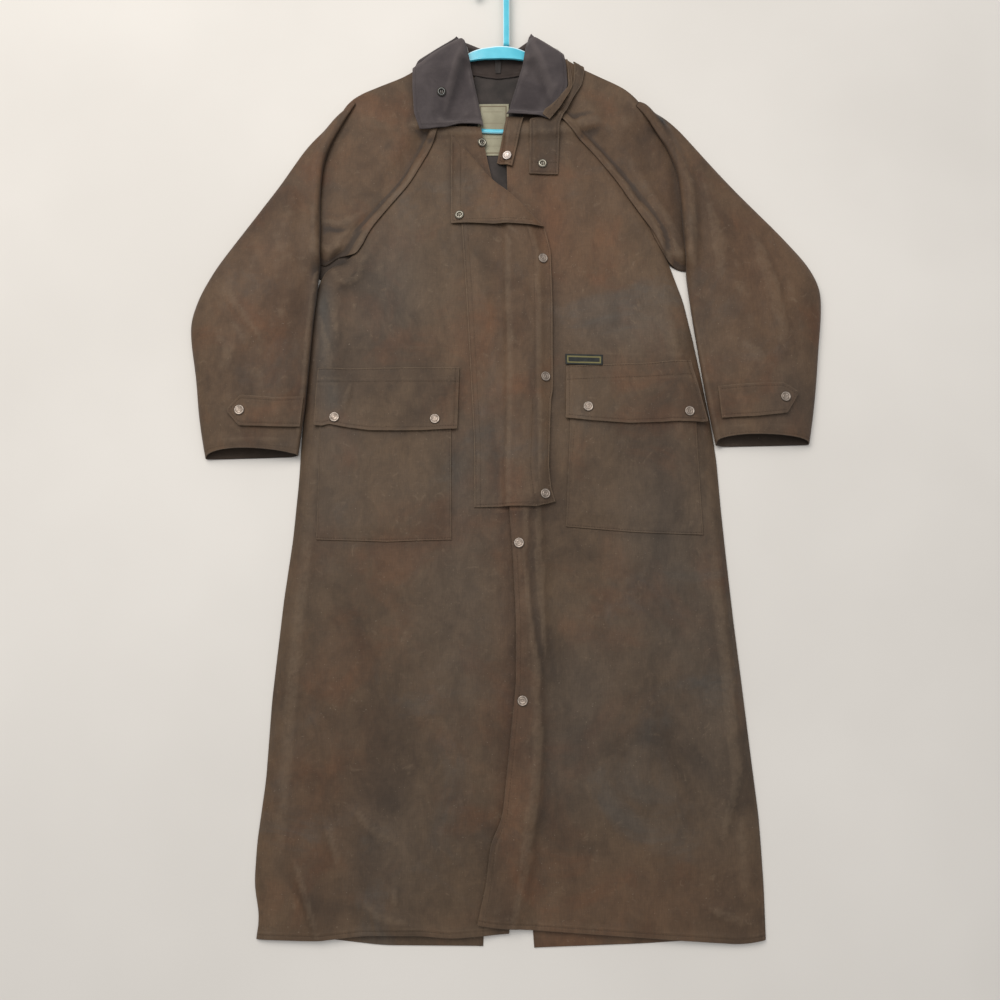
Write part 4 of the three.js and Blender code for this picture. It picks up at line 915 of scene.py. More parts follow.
def plan_by_rows(rows, step=GRID, hem=None, hem_fade=90, fine=(True, True, True, True), soften=14):
    """A grid between a left and a right edge (y, left, right), whose lowest rows bend to a hem line."""
    rows = np.array(rows, float)[::-1]
    tall = rows[-1, 0] - rows[0, 0]
    ys = rows[-1, 0] - edge_steps(tall, step, fine[2:]) * tall
    dense = np.linspace(rows[0, 0], rows[-1, 0], int(tall / 2) + 1)
    edges = []
    for column in (1, 2):
        path = np.stack([dense, np.interp(dense, rows[:, 0], rows[:, column])], -1)
        smooth = rounded(path, soften)
        edges.append(np.interp(ys, smooth[:, 0], smooth[:, 1]))
    wide = float(np.median(edges[1] - edges[0]))
    columns = edge_steps(wide, step, fine[:2])
    x = edges[0][:, None] + (edges[1] - edges[0])[:, None] * columns[None, :]
    y = np.repeat(ys[:, None], len(columns), axis=1)
    if hem is not None:
        lowest = ys[-1]
        hem = rounded(hem, 16)
        bend = np.interp(x, hem[:, 0], hem[:, 1]) - lowest
        y = y + ease(1 - (y - lowest) / hem_fade) * bend
    return np.dstack([x, y])


def plan_inside(first, last, left, right, row_count, shares):
    """A grid inside four edges: first and last row, left and right line."""
    rows = evenly(row_count)
    a, b, c, d = first[0], first[-1], last[0], last[-1]
    u, v = shares[None, :, None], rows[:, None, None]
    top, low = along(first, shares)[None], along(last, shares)[None]
    west, east = along(left, rows)[:, None], along(right, rows)[:, None]
    return (mix(top, low, v) + mix(west, east, u)
            - mix(mix(a[None, None], b[None, None], u), mix(c[None, None], d[None, None], u), v))


# Outlines of the body, a row (y, left, right) for each height at which an edge turns

LEFT_FRONT_ROWS = [
    (591, -104, -30), (555, -116, -23), (530, -130, -18), (496, -147, -10), (462, -174, 8), (420, -206, 28),
    (392, -216, 42), (370, -232, 46), (356, -264, 48), (328, -277, 50), (250, -284, 50), (155, -288, 50),
    (89, -291, 50), (29, -292, 50), (-59, -297, 52), (-145, -306, 56), (-283, -316, 54), (-389, -319, 44),
    (-471, -327, 30), (-523, -328, 22), (-564, -319, 16), (-590, -322, 12),
]
RIGHT_FRONT_ROWS = [
    (612, 10, 101), (570, 10, 133), (548, 10, 153), (496, 11, 191), (464, 12, 209), (437, 12, 231),
    (404, 12, 245), (358, 13, 260), (306, 14, 277), (244, 14, 289), (190, 14, 298), (105, 14, 311),
    (57, 14, 316), (-14, 13, 319), (-83, 18, 323), (-173, 22, 329), (-259, 22, 336), (-363, 11, 344),
    (-437, 3, 350), (-471, -13, 351), (-527, -19, 352), (-588, -30, 351),
]
LEFT_FRONT_HEM = line((-322, -591), (-242, -593), (-179, -586), (-103, -586), (-65, -590), (12, -584))
RIGHT_FRONT_HEM = line((-30, -572), (-6, -576), (41, -579), (164, -587), (239, -592), (319, -597),
                       (351, -592))
LEFT_BACK_HEM = line((-310, -584), (-220, -592), (-154, -599), (-22, -600))
RIGHT_BACK_HEM = line((45, -602), (185, -597), (339, -588))
CENTRE_BACK_TOP, CENTRE_BACK_LOW = (692, -3), (-80, 5)
VENT_Y, VENT_LEFT, VENT_RIGHT = -598, -22, 45
BACK_NECK_LEFT, BACK_NECK_RIGHT = -46, 40


def back_rows(front_rows, side):
    """Rows of a back panel: the front's outer edge set in, and the centre seam or the vent's edge."""
    rows = [(CENTRE_BACK_TOP[0], BACK_NECK_LEFT if side == "left" else BACK_NECK_RIGHT, CENTRE_BACK_TOP[1])]
    vent = VENT_LEFT if side == "left" else VENT_RIGHT
    levels = [row for row in front_rows if row[0] < 560]
    for y, left, right in levels:
        y = VENT_Y if y == levels[-1][0] else y
        outer = left + SIDE_SEAM_INSET if side == "left" else right - SIDE_SEAM_INSET
        middle = np.interp(y, [VENT_Y, CENTRE_BACK_LOW[0], CENTRE_BACK_TOP[0]],
                           [vent, CENTRE_BACK_LOW[1], CENTRE_BACK_TOP[1]])
        rows.append((y, outer, middle))
    half = GAP / 2
    if side == "left":
        return [(y, outer, middle - half) for y, outer, middle in rows]
    return [(y, middle + half, outer) for y, outer, middle in rows]


def lay_back(name, rows, hem, node):
    fine = (False, False, False, True)
    plan = plan_by_rows(rows, 7.0, hem, fine=fine)
    x, y = plan[..., 0], plan[..., 1]
    last = edge_distances(plan)[3]
    bottom = np.dstack([x, y, np.full_like(x, 0.05)])
    top = np.dstack([x, y, 0.05 + CLOTH + stitched_hem(last, 0.35, 9, 14) * (last < 30)])
    wear_and_painted_light = wear_and_shade_of(top[..., 2], 0.5 * np.exp(-(last / 1.6) ** 2))
    points, faces, rim = shell_faces(top, bottom)
    all_wear_and_painted_light = np.concatenate([wear_and_painted_light.ravel(), np.zeros(x.size), np.full(len(rim), 0.4)])
    piece = add_mesh(name, points, faces, MATERIALS["cloth"], colour_attributes(points, all_wear_and_painted_light))
    lay(top, 6)
    dress(piece, [node], "waxed_cloth", flat=(0.37, 1.29), held="laid", area=flat_area(plan) / 1e6)


lay_back("cloth_back_left", back_rows(LEFT_FRONT_ROWS, "left"), LEFT_BACK_HEM, "back_left")
lay_back("cloth_back_right", back_rows(RIGHT_FRONT_ROWS, "right"), RIGHT_BACK_HEM, "back_right")


# Shoulders of the raglan sleeves: one cloth folded along the shoulder

LEFT_SHOULDER = {
    "fold": line((-58, 730), (-100, 708), (-151, 674), (-196, 656), (-221, 645), (-238, 634), (-258, 604)),
    "under": line((-38, 690), (-80, 610), (-138, 496), (-196, 420), (-206, 400)),
    "over": line((-96, 590), (-108, 555), (-122, 530), (-140, 496), (-167, 462), (-199, 420), (-209, 396)),
    "under_end": line((-206, 400), (-222, 346), (-262, 336), (-292, 350), (-292, 450), (-288, 520),
                      (-258, 604)),
    "over_end": line((-209, 396), (-220, 378), (-246, 378), (-268, 360), (-286, 376), (-288, 450),
                     (-288, 520), (-258, 604)),
}
RIGHT_SHOULDER = {
    "fold": line((52, 732), (92, 712), (133, 686), (174, 667), (192, 657), (212, 637), (240, 608),
                 (262, 582)),
    "under": line((32, 690), (80, 622), (176, 496), (222, 430), (236, 404)),
    "over": line((94, 608), (126, 570), (146, 548), (184, 496), (202, 464), (224, 437), (236, 406)),
    "under_end": line((236, 404), (258, 364), (276, 354), (292, 356), (296, 400), (294, 480), (262, 582)),
    "over_end": line((236, 406), (258, 364), (276, 354), (292, 356), (296, 400), (294, 480), (262, 582)),
}
SHOULDER_LOW = 2.5
SHOULDER_PUFF = 4
SHOULDER_SOFTNESS = 15.0
SHOULDER_EASE = 84
# Painted shade on the inside of the shoulder fold
INSIDE_SHADE = -0.8
LEFT_SHOULDER_FOLDS = [
    (((-240, 600), (-262, 560), (-268, 470)), 12, 18, -2.8),
    (((-266, 566), (-276, 520), (-280, 460)), 6, 9, -2.2),
    (((-272, 436), (-244, 430), (-212, 448)), 5, 9, 1.6),
    (((-268, 424), (-242, 416), (-218, 426)), 5, 6, -1.4),
    (((-160, 640), (-190, 560), (-200, 480)), 26, 34, 1.6),
    (((-118, 676), (-140, 650), (-136, 610)), 9, 14, 1.2),
    (((-250, 384), (-232, 384), (-218, 396)), 5, 7, 1.8),
]
RIGHT_SHOULDER_FOLDS = [
    (((168, 650), (196, 590), (204, 540)), 14, 24, 2.0),
    (((196, 654), (214, 624), (232, 604), (250, 590)), 6, 9, 3.0),
    (((226, 626), (246, 596), (262, 560)), 8, 12, -3.2),
    (((262, 560), (272, 500), (274, 440)), 7, 10, -2.4),
    (((228, 560), (240, 500), (246, 440)), 30, 22, -1.4),
    (((248, 420), (256, 400), (252, 380)), 5, 6, -2.4),
    (((262, 400), (272, 380), (286, 366)), 6, 8, 1.4),
]


def shoulder_plan(shoulder, layer, shares):
    seam = rounded(shoulder[layer], 20)
    fold = rounded(shoulder["fold"], 12)
    neck = np.stack([seam[0], fold[0]])
    return plan_inside(neck, rounded(shoulder[layer + "_end"], 8), seam, fold, 88, shares)


SHOULDER_SHARES = edge_steps(190, 3.6, (True, True))


def lay_shoulder_under(shoulder):
    plan = shoulder_plan(shoulder, "under", SHOULDER_SHARES)
    bottom = np.dstack([plan, draped(plan, 3.0) + GAP * (draped(plan, 3.0) > 0.3)])
    lay(bottom + (0, 0, CLOTH))
    return bottom


def lay_shoulder_over(name, node, shoulder, under, folds, seed):
    plan = shoulder_plan(shoulder, "over", SHOULDER_SHARES)
    x, y = plan[..., 0], plan[..., 1]
    share = SHOULDER_SHARES[None, :] * np.ones_like(x)
    puff = SHOULDER_LOW + SHOULDER_PUFF * np.sin(np.pi * np.minimum(share, 0.5))
    distances = edge_distances(plan)
    seam_distance = distances[0]
    close = draped(plan, 2.0) + GAP
    soft = draped(plan, SHOULDER_SOFTNESS) + GAP + puff + crumple(x, y, seed, 0.7) + 1.2
    free = ease(seam_distance / SHOULDER_EASE) * ease(distances[3] / 26)
    height = np.maximum(close + (soft + fold_height(folds, x, y) - close) * free, close)
    height = height + 0.5 * np.exp(-((seam_distance - 5) / 3.0) ** 2)
    over = np.dstack([x, y, height])
    low, high = under[:, -1], over[:, -1]
    middle, half = (low[:, 2] + CLOTH + high[:, 2]) / 2, (high[:, 2] + CLOTH - low[:, 2]) / 2
    away = under[:, -1] - under[:, -3]
    away = away / np.maximum(np.linalg.norm(away[:, :2], axis=1, keepdims=True), 1e-6)
    turns = np.linspace(-0.5, 0.5, 9)[1:-1] * np.pi

    def bend(inset):
        rows = []
        for turn in turns:
            reach = (3.2 - inset) * np.cos(turn)
            place = low + away * reach
            rise = (half - inset) * np.sin(turn)
            rows.append(np.column_stack([place[:, 0], place[:, 1], middle - CLOTH / 2 + rise]))
        return np.stack(rows, axis=1)

    outer = np.concatenate([under, bend(0), (over + (0, 0, CLOTH))[:, ::-1]], axis=1)
    inner = np.concatenate([under + (0, 0, CLOTH), bend(CLOTH), over[:, ::-1]], axis=1)
    points, faces, rim = shell_faces(outer, inner)
    seam_line = -0.4 * np.exp(-(seam_distance / 1.4) ** 2) + 0.16 * np.exp(-((seam_distance - 4) / 2.0) ** 2)
    wear_and_painted_light = clamp(wear_and_shade_of(over[..., 2]) + seam_line, -1, 1)
    fold_wear = 0.2 * np.ones((x.shape[0], len(turns)))
    outer_wear_and_shade = np.concatenate([np.zeros_like(x), fold_wear, wear_and_painted_light[:, ::-1]], axis=1)
    all_wear_and_painted_light = np.concatenate([outer_wear_and_shade.ravel(), np.full(outer_wear_and_shade.size, INSIDE_SHADE), np.zeros(len(rim))])
    piece = add_mesh(name, points, faces, MATERIALS["cloth"], colour_attributes(points, all_wear_and_painted_light))
    lay(over + (0, 0, CLOTH))
    area = (flat_area(plan) + flat_area(under[..., :2])) / 1e6
    dress(piece, [node], "waxed_cloth", flat=(0.40, 0.36), held="folded", area=area,
          rests_on=["hanger_arms"])


left_under = lay_shoulder_under(LEFT_SHOULDER)
right_under = lay_shoulder_under(RIGHT_SHOULDER)


# Inside of the neck

NECK_FACING_ROWS = [(688, -40, 34), (640, -48, 34), (480, -60, 50)]
NECK_GATHERS = [
    (((-30, 684), (-26, 664), (-29, 645)), 3, 5, 1.0),
    (((-12, 684), (-14, 666), (-10, 648)), 3, 4, 0.8),
    (((6, 684), (4, 664), (8, 646)), 3, 5, 1.0),
    (((22, 684), (24, 662), (20, 640)), 3, 4, 0.8),
]
LABEL_ROWS = [(638, -36, 14), (548, -34, 14)]
ALL_PLAIN = (False, False, False, False)

lay_cloth("lining_neck", plan_by_rows(NECK_FACING_ROWS, 4, fine=ALL_PLAIN), ["neck_facing"], "lining",
          MATERIALS["lining"], THIN_CLOTH, 2.0, unevenness=0.4, seed=21,
          lift=lambda x, y, d: fold_height(NECK_GATHERS, x, y))


LABEL_LINES = (14, 20, 34, 40, 54, 60, 74)


def label_border(distances):
    """A plain woven border and a few plain lines across the label."""
    marks = np.exp(-((np.minimum.reduce(distances) - 4.5) / 0.9) ** 4)
    for place in LABEL_LINES:
        across = np.exp(-((distances[2] - place) / 0.8) ** 4) * (np.minimum(distances[0], distances[1]) > 8)
        marks = np.maximum(marks, 0.55 * across)
    return marks


lay_cloth("label_neck", plan_by_rows(LABEL_ROWS, 2.2), ["neck_label"], "label", MATERIALS["label"],
          THIN_CLOTH, 2.0, unevenness=0.15, seed=22, border=label_border, edge_wear=0.2,
          relief=lambda x, y, d: groove(np.minimum.reduce(d) - 2.2, 0.25, 0.8))

COLLAR_BACK = {
    "seam": line((-44, 688), (-3, 682), (38, 688)),
    "fold": line((-52, 738), (-28, 730), (-3, 728), (24, 730), (42, 738)),
    "hem": line((-60, 752), (-30, 738), (-3, 736), (28, 738), (48, 754)),
}
COLLAR_BACK_FOLD_HEIGHT = 5


def tent_plan(collar, step, radius=5):
    """A grid from the seam up to the fold and on to the hem, and the share of each column."""
    seam, fold, hem = (rounded(collar[key], radius) for key in ("seam", "fold", "hem"))
    rows = edge_steps(length_of(fold), step, (True, True))
    middle = [along(path, np.array([0.5]))[0] for path in (seam, fold, hem)]
    seam_count = max(3, int(np.hypot(*(middle[1] - middle[0])) / step * 1.6))
    fall = edge_steps(float(np.hypot(*(middle[2] - middle[1]))), step, (False, True))
    a, b, c = (along(path, rows)[:, None, :] for path in (seam, fold, hem))
    first = evenly(seam_count)[None, :, None]
    second = fall[None, 1:, None]
    plan = np.concatenate([a + (b - a) * first, b + (c - b) * second], axis=1)
    share = np.concatenate([evenly(seam_count) - 1, fall[1:]])
    return plan, share, rows


def tent_height(share, rises, falls):
    """A rounded height profile: share -1 at the seam, 0 at the fold, 1 at the hem."""
    keys = np.concatenate([np.linspace(-1, 0, len(rises)), np.linspace(0, 1, len(falls))[1:]])
    values = np.concatenate([rises, falls[1:]])
    return np.interp(share, keys, values)


plan, share, rows = tent_plan(COLLAR_BACK, 2.6)
profile = tent_height(share, [0, 0.55, 0.9, 1], [1, 0.82, 0]) * COLLAR_BACK_FOLD_HEIGHT
lay_cloth("collar_cloth_back", plan, ["collar_back"], "collar_cloth", MATERIALS["stand"], COLLAR_CLOTH, 3.0,
          lift=lambda x, y, d: profile[None, :] * np.ones_like(x), unevenness=0.3, seed=23,
          relief=lambda x, y, d: groove(d[0] - 3, 0.5, 1.2))

LOOP_LINE = (line((-8, 716), (-7, 690)), line((2, 716), (1, 690)))
lay_cloth("loop_hanging", plan_between(*LOOP_LINE, 1.5, ALL_PLAIN, 1), ["hanging_loop"], "lining",
          MATERIALS["lining"], THIN_CLOTH, 2.0, unevenness=0, sheet={"flat": (0.0105, 0.027)},
          lift=lambda x, y, d: 0.6 - 0.6 * np.exp(-((d[0] - d[1]) / 4) ** 2))


# Hanger

# Points (x, y, z, width): a deep bow where the hook stands, slimmer towards the shoulders
HANGER_ARMS = line(
    (-206, 626, 5.1, 12), (-150, 655, 6.6, 12), (-100, 686, 9, 12), (-60, 709, 13.4, 9), (-36, 717.5, 16, 18),
    (5, 721.5, 16.4, 23), (32, 717.5, 16, 18), (54, 709, 13.4, 9), (100, 688, 9, 12), (152, 657, 6.6, 12),
    (206, 628, 5.1, 12))
HANGER_THICKNESS = 6
HANGER_BAR = line((-203, 618), (-190, 608), (-100, 592), (0, 587), (100, 593), (190, 610), (203, 620))
HANGER_BAR_WIDTH, HANGER_BAR_THICKNESS = 7, 5
HOOK_X, HOOK_FOOT, HOOK_TOP, HOOK_WIDTH = 10, 732.5, 836, 10
RING_SIDES = 44


def bar_rings(path, thickness, square=2.6, lip=0.0, one_rim=False):
    """Rings of a flattened bar along points (x, y, z, width); lip is the depth between its two rims."""
    ahead = np.gradient(path[:, :2], axis=0)
    heading = np.arctan2(ahead[:, 1], ahead[:, 0])
    turn = 2 * np.pi * np.arange(RING_SIDES) / RING_SIDES
    across = np.sign(np.cos(turn)) * np.abs(np.cos(turn)) ** (2 / square)
    up = np.sign(np.sin(turn)) * np.abs(np.sin(turn)) ** (2 / square)
    up = up * (1 - lip * (1 - np.abs(across) ** 8))
    half = path[:, 3, None] / 2
    x = path[:, 0, None] - np.sin(heading)[:, None] * across * half
    y = path[:, 1, None] + np.cos(heading)[:, None] * across * half
    z = path[:, 2, None] + up * thickness / 2
    rim = across if one_rim else np.abs(across)
    # Painted highlight along the upper rims, and painted shade in the groove between them
    wear_and_painted_light = np.where((up > 0.3) & (rim > 0.84) & (rim < 0.99), 0.85, 0.0)
    wear_and_painted_light = np.where(np.abs(across) < 0.6, -0.2 * (lip > 0), wear_and_painted_light)
    return np.dstack([x, y, z]), np.repeat(wear_and_painted_light[None], len(path), axis=0)


def add_bar(name, node, path, thickness, square=2.6, lip=0.0, one_rim=False):
    rings, wear_and_painted_light = bar_rings(path, thickness, square, lip, one_rim)
    count, sides = rings.shape[:2]
    index = np.arange(count * sides).reshape(count, sides)
    after = np.roll(np.arange(sides), -1)
    quads = [np.stack([index[:-1], index[:-1, after], index[1:, after], index[1:]], -1).reshape(-1, 4)]
    points = [rings.reshape(-1, 3)]
    triangles = []
    start = count * sides
    for end, beside in ((0, 1), (count - 1, count - 2)):
        centre = rings[end].mean(0)
        away = centre - rings[beside].mean(0)
        away = away / max(np.linalg.norm(away), 1e-6)
        shrunk = centre + (rings[end] - centre) * 0.72 + away * thickness * 0.16
        points += [shrunk, (centre + away * thickness * 0.22)[None]]
        cap = start + np.arange(sides)
        tip = start + sides
        start += sides + 1
        one = np.stack([index[end, after], index[end], cap, cap[after]], -1)
        fan = np.stack([cap[after], cap, np.full(sides, tip)], -1)
        quads.append(one if end else one[:, ::-1])
        triangles.append(fan if end else fan[:, ::-1])
    all_wear_and_painted_light = np.concatenate([wear_and_painted_light.ravel(), np.zeros(2 * (sides + 1))])
    piece = add_mesh(name, np.concatenate(points), np.concatenate(quads), MATERIALS["plastic"],
                     {"wear_and_painted_light": all_wear_and_painted_light}, np.concatenate(triangles))
    dress(piece, [node], "hanger_plastic")
    ahead = np.gradient(path[:, :2], axis=0)
    ahead = ahead / np.linalg.norm(ahead, axis=1, keepdims=True)
    side = np.column_stack([-ahead[:, 1], ahead[:, 0], np.zeros(len(path))]) * path[:, 3:4] / 2
    middle = path[:, :3]
    lay(np.stack([middle - side, middle, middle + side], axis=1) + (0, 0, thickness / 2), 3)


bar_path = along(rounded(HANGER_BAR, 12), evenly(70))
bed = draped(np.stack([bar_path + (0, 4), bar_path - (0, 4)], axis=1), 2.0).max()
bar_height = bed + GAP + HANGER_BAR_THICKNESS / 2
bar_path = np.column_stack([bar_path, np.full(71, bar_height), np.full(71, HANGER_BAR_WIDTH)])
add_bar("plastic_hanger_bar", "hanger_bar", bar_path, HANGER_BAR_THICKNESS)
arms_path = along(rounded(HANGER_ARMS, 14), evenly(110))
add_bar("plastic_hanger_arms", "hanger_arms", arms_path, HANGER_THICKNESS, 5.0, 0.34, True)
HOOK_TURNS = 40
hook_angles = (13 / 12) * np.pi * evenly(HOOK_TURNS)
hook_arc = np.column_stack([HOOK_X - HOOK_RADIUS + HOOK_RADIUS * np.cos(hook_angles),
                            HOOK_TOP + HOOK_RADIUS * np.sin(hook_angles)])
shank = np.column_stack([np.full(20, HOOK_X), np.linspace(HOOK_FOOT, HOOK_TOP, 21)[:-1]])
hook_path = np.concatenate([shank, hook_arc])
hook_path = np.column_stack([hook_path, np.full(len(hook_path), HANGER_ARMS[5, 2]),
                             np.full(len(hook_path), HOOK_WIDTH)])
add_bar("plastic_hanger_hook", "hanger_hook", hook_path, HANGER_THICKNESS, 4.0, 0.3)


# Fronts: low at the middle, with a soft roll down each side and the folds of a laid-out coat

LEFT_FRONT_FOLDS = [
    (((-246, 330), (-258, 180), (-262, 30)), 16, 20, 5.5),
    (((-268, 40), (-286, -240), (-298, -540)), 18, 22, 6.0),
    (((-150, 330), (-136, 270), (-120, 220)), 20, 26, 2.2),
    (((-195, -426), (-168, -452), (-142, -467)), 6, 14, 3.4),
    (((-234, -449), (-222, -470), (-214, -498)), 6, 12, 3.0),
    (((-186, -548), (-150, -566), (-106, -577)), 10, 14, 3.6),
    (((-274, -496), (-262, -530), (-240, -590)), 10, 5, 4.4),
    (((-138, -525), (-139, -540), (-138, -553)), 5, 7, 1.8),
    (((-271, 315), (-256, 270), (-246, 227)), 5, 8, -2.2),
    (((-259, 363), (-238, 330), (-216, 340), (-208, 372)), 6, 9, 3.0),
    (((-250, 350), (-236, 316), (-222, 300)), 7, 10, -2.4),
    (((-196, 400), (-178, 330), (-160, 250)), 12, 18, 1.4),
    (((-110, -60), (-118, -240), (-96, -420)), 26, 34, 1.6),
    (((-200, -80), (-216, -260), (-238, -420)), 22, 30, 1.4),
    (((-40, -60), (-20, -200), (-30, -330)), 16, 22, 1.2),
    (((-210, 226), (-232, 190), (-236, 150)), 8, 10, -1.2),
    (((-30, -30), (-10, -44), (12, -40)), 8, 10, -1.6),
]
RIGHT_FRONT_FOLDS = [
    (((240, 350), (262, 200), (284, 40)), 16, 20, 5.0),
    (((296, 40), (314, -240), (326, -540)), 20, 18, 6.0),
    (((64, -60), (70, -173), (78, -250), (84, -330)), 12, 24, 2.6),
    (((330, -371), (309, -429), (298, -472)), 5, 12, 3.2),
    (((200, 330), (170, 290), (140, 250)), 20, 26, 1.8),
    (((180, -300), (196, -410), (205, -520)), 24, 30, 1.8),
    (((272, -548), (300, -560), (330, -567)), 6, 12, 2.4),
    (((120, -80), (136, -250), (120, -430)), 24, 34, 1.3),
    (((250, -80), (262, -230), (256, -400)), 20, 28, 1.4),
    (((60, -380), (40, -460), (36, -540)), 14, 22, 1.4),
    (((100, 400), (120, 330), (110, 250)), 18, 24, 1.0),
]
BAND_FOLD = line((44, 0), (42, -70), (38, -83), (42, -109), (48, -173), (58, -248), (57, -283), (61, -331),
                 (62, -363), (58, -420), (46, -500), (40, -579))
SIDE_ROLL = 15
SIDE_ROLL_HEIGHT = 3.4
LEFT_WAIST_SEAM = line((-242, 224), (-60, 224))
RIGHT_WAIST_SEAM = line((150, 216), (293, 213))


def seam_across(seam, x, y):
    """A seam that runs across the coat: a narrow trough with the thicker cloth above it."""
    inside = ease((x - seam[0, 0]) / 12) * ease((seam[-1, 0] - x) / 12)
    above = y - np.interp(x, seam[:, 0], seam[:, 1])
    return inside * (groove(above, 0.6, 1.6) + 0.35 * np.exp(-((above - 5) / 3) ** 2))


def side_roll(distance):
    """The rise of a folded side edge, steep at the very edge."""
    inside = clamp(distance / SIDE_ROLL)
    return SIDE_ROLL_HEIGHT * np.sqrt(np.maximum(1 - (1 - inside) ** 2, 0)) - 0.3


def distance_to(path, x, y):
    """Signed distance in mm from a line that runs down the coat: above 0 to its right."""
    path = path[np.argsort(path[:, 1])]
    return x - np.interp(y, path[:, 1], path[:, 0])


def left_front_lift(x, y, d):
    share = d[0] / (d[0] + d[1])
    lift = 0.4 + 1.8 * np.sin(np.pi * clamp(share)) + side_roll(d[0])
    folds = fold_height(LEFT_FRONT_FOLDS, x, y)
    return np.maximum(lift + folds * ease(d[0] / 10), 0.1)


def right_front_lift(x, y, d):
    share = d[1] / (d[0] + d[1])
    lift = 0.4 + 1.8 * np.sin(np.pi * clamp(share)) + side_roll(d[1])
    folds = fold_height(RIGHT_FRONT_FOLDS, x, y) * ease(d[1] / 10)
    band = distance_to(BAND_FOLD, x, y)
    below_flap = ease((20 - y) / 40)
    folds += below_flap * (1.7 * np.exp(-((band + 9) / 13) ** 2) - 1.5 * np.exp(-((band - 3) / 4.5) ** 2))
    return np.maximum(lift + folds, 0.1)


def left_front_relief(x, y, d):
    hems = stitched_hem(d[3]) * (d[3] < 30) + stitched_hem(d[1], 0.4) * (d[1] < 30)
    return hems + seam_across(LEFT_WAIST_SEAM, x, y)


def right_front_relief(x, y, d):
    hems = stitched_hem(d[3]) * (d[3] < 30) + stitched_hem(d[0], 0.4) * (d[0] < 30)
    return hems + seam_across(RIGHT_WAIST_SEAM, x, y)


lay_cloth("cloth_front_left", plan_by_rows(LEFT_FRONT_ROWS, GRID, LEFT_FRONT_HEM), ["front_left"],
          "waxed_cloth", MATERIALS["cloth"], CLOTH, 5.0, left_front_lift, left_front_relief, 0.9, 31,
          sheet={"flat": (0.38, 1.19), "held": "laid", "rests_on": ["cloth_back_left"]})
lay_cloth("cloth_front_right", plan_by_rows(RIGHT_FRONT_ROWS, GRID, RIGHT_FRONT_HEM), ["front_right"],
          "waxed_cloth", MATERIALS["cloth"], CLOTH, 5.0, right_front_lift, right_front_relief, 0.9, 41,
          sheet={"flat": (0.40, 1.20), "held": "laid", "rests_on": ["cloth_front_left", "cloth_back_right"]})

lay_shoulder_over("cloth_shoulder_left", "sleeve_left_shoulder", LEFT_SHOULDER, left_under,
                  LEFT_SHOULDER_FOLDS, 51)
lay_shoulder_over("cloth_shoulder_right", "sleeve_right_shoulder", RIGHT_SHOULDER, right_under,
                  RIGHT_SHOULDER_FOLDS, 61)


# Sleeves: a flattened tube through sections (inner x, inner y, outer x, outer y, height)

LEFT_SLEEVE = line(
    (-226, 628, -229, 631, 1.5), (-235, 614, -244, 620, 4), (-246, 596, -263, 602, 8),
    (-259, 571, -290, 576, 12), (-272, 540, -314, 542, 15),
    (-276, 505, -334, 502, 18), (-276, 465, -360, 464, 21), (-273, 420, -392, 414, 25),
    (-272, 375, -420, 374, 28), (-273, 335, -443, 334, 30), (-277, 295, -461, 290, 30),
    (-280, 250, -466, 250, 28), (-282, 200, -452, 200, 26), (-284, 151, -446, 145, 25),
    (-288, 107, -438, 98, 24), (-293, 64, -429, 60, 23))
RIGHT_SLEEVE = line(
    (212, 622, 218, 629, 1.5), (225, 608, 240, 625, 4), (239, 590, 262, 614, 7),
    (254, 566, 291, 579, 11), (267, 538, 320, 539, 15),
    (275, 505, 347, 504, 18), (277, 465, 380, 465, 21), (277, 425, 414, 428, 25), (279, 385, 449, 385, 28),
    (283, 340, 482, 341, 30), (286, 295, 486, 300, 30), (291, 245, 477, 245, 28), (297, 195, 471, 195, 26),
    (303, 145, 464, 145, 26), (309, 108, 457, 108, 25), (314, 79, 452, 82, 24))
LEFT_SLEEVE_FOLDS = [
    (((-420, 330), (-388, 280), (-352, 222)), 12, 20, 4.0),
    (((-392, 200), (-360, 188), (-330, 170)), 14, 18, 2.2),
    (((-408, 297), (-380, 262), (-349, 219)), 6, 9, -2.6),
    (((-330, 500), (-320, 420), (-330, 340)), 20, 28, 2.0),
    (((-300, 300), (-306, 220), (-300, 160)), 12, 16, -1.8),
    (((-430, 260), (-400, 220), (-396, 180)), 12, 16, 1.8),
    (((-420, 100), (-380, 92), (-330, 96)), 8, 12, -1.4),
    (((-360, 420), (-344, 380), (-356, 330)), 10, 16, -1.6),
]
RIGHT_SLEEVE_FOLDS = [
    (((388, 400), (410, 320), (424, 236)), 12, 20, 4.0),
    (((340, 250), (370, 220), (400, 190)), 14, 18, 2.2),
    (((402, 390), (422, 310), (436, 240)), 6, 9, -2.2),
    (((300, 540), (308, 440), (318, 330)), 7, 9, -2.6),
    (((316, 480), (326, 400), (332, 320)), 14, 20, 2.0),
    (((330, 130), (370, 110), (430, 118)), 8, 12, -1.6),
    (((450, 240), (440, 200), (446, 160)), 12, 16, 1.6),
    (((346, 440), (372, 380), (380, 320)), 12, 16, -1.4),
]
SLEEVE_EDGE_HEIGHT = 4.4
SLEEVE_WALL = 1.3
HALF_RING = 52


def sleeve_sections(sections, step=4.0):
    tall = length_of((sections[:, 0:2] + sections[:, 2:4]) / 2)
    shares = edge_steps(tall, step, (False, True))
    places = np.linspace(0, 1, len(sections))
    dense = np.linspace(0, 1, 500)
    columns = []
    for k in range(5):
        values = np.interp(dense, places, sections[:, k])
        window = 27
        before, after = values[window:0:-1], values[-2:-window - 2:-1]
        ends = np.concatenate([2 * values[0] - before, values, 2 * values[-1] - after])
        smooth = np.convolve(ends, np.ones(2 * window + 1) / (2 * window + 1), "valid")
        smooth[0], smooth[-1] = values[0], values[-1]
        columns.append(np.interp(shares, dense, smooth))
    return np.column_stack(columns)


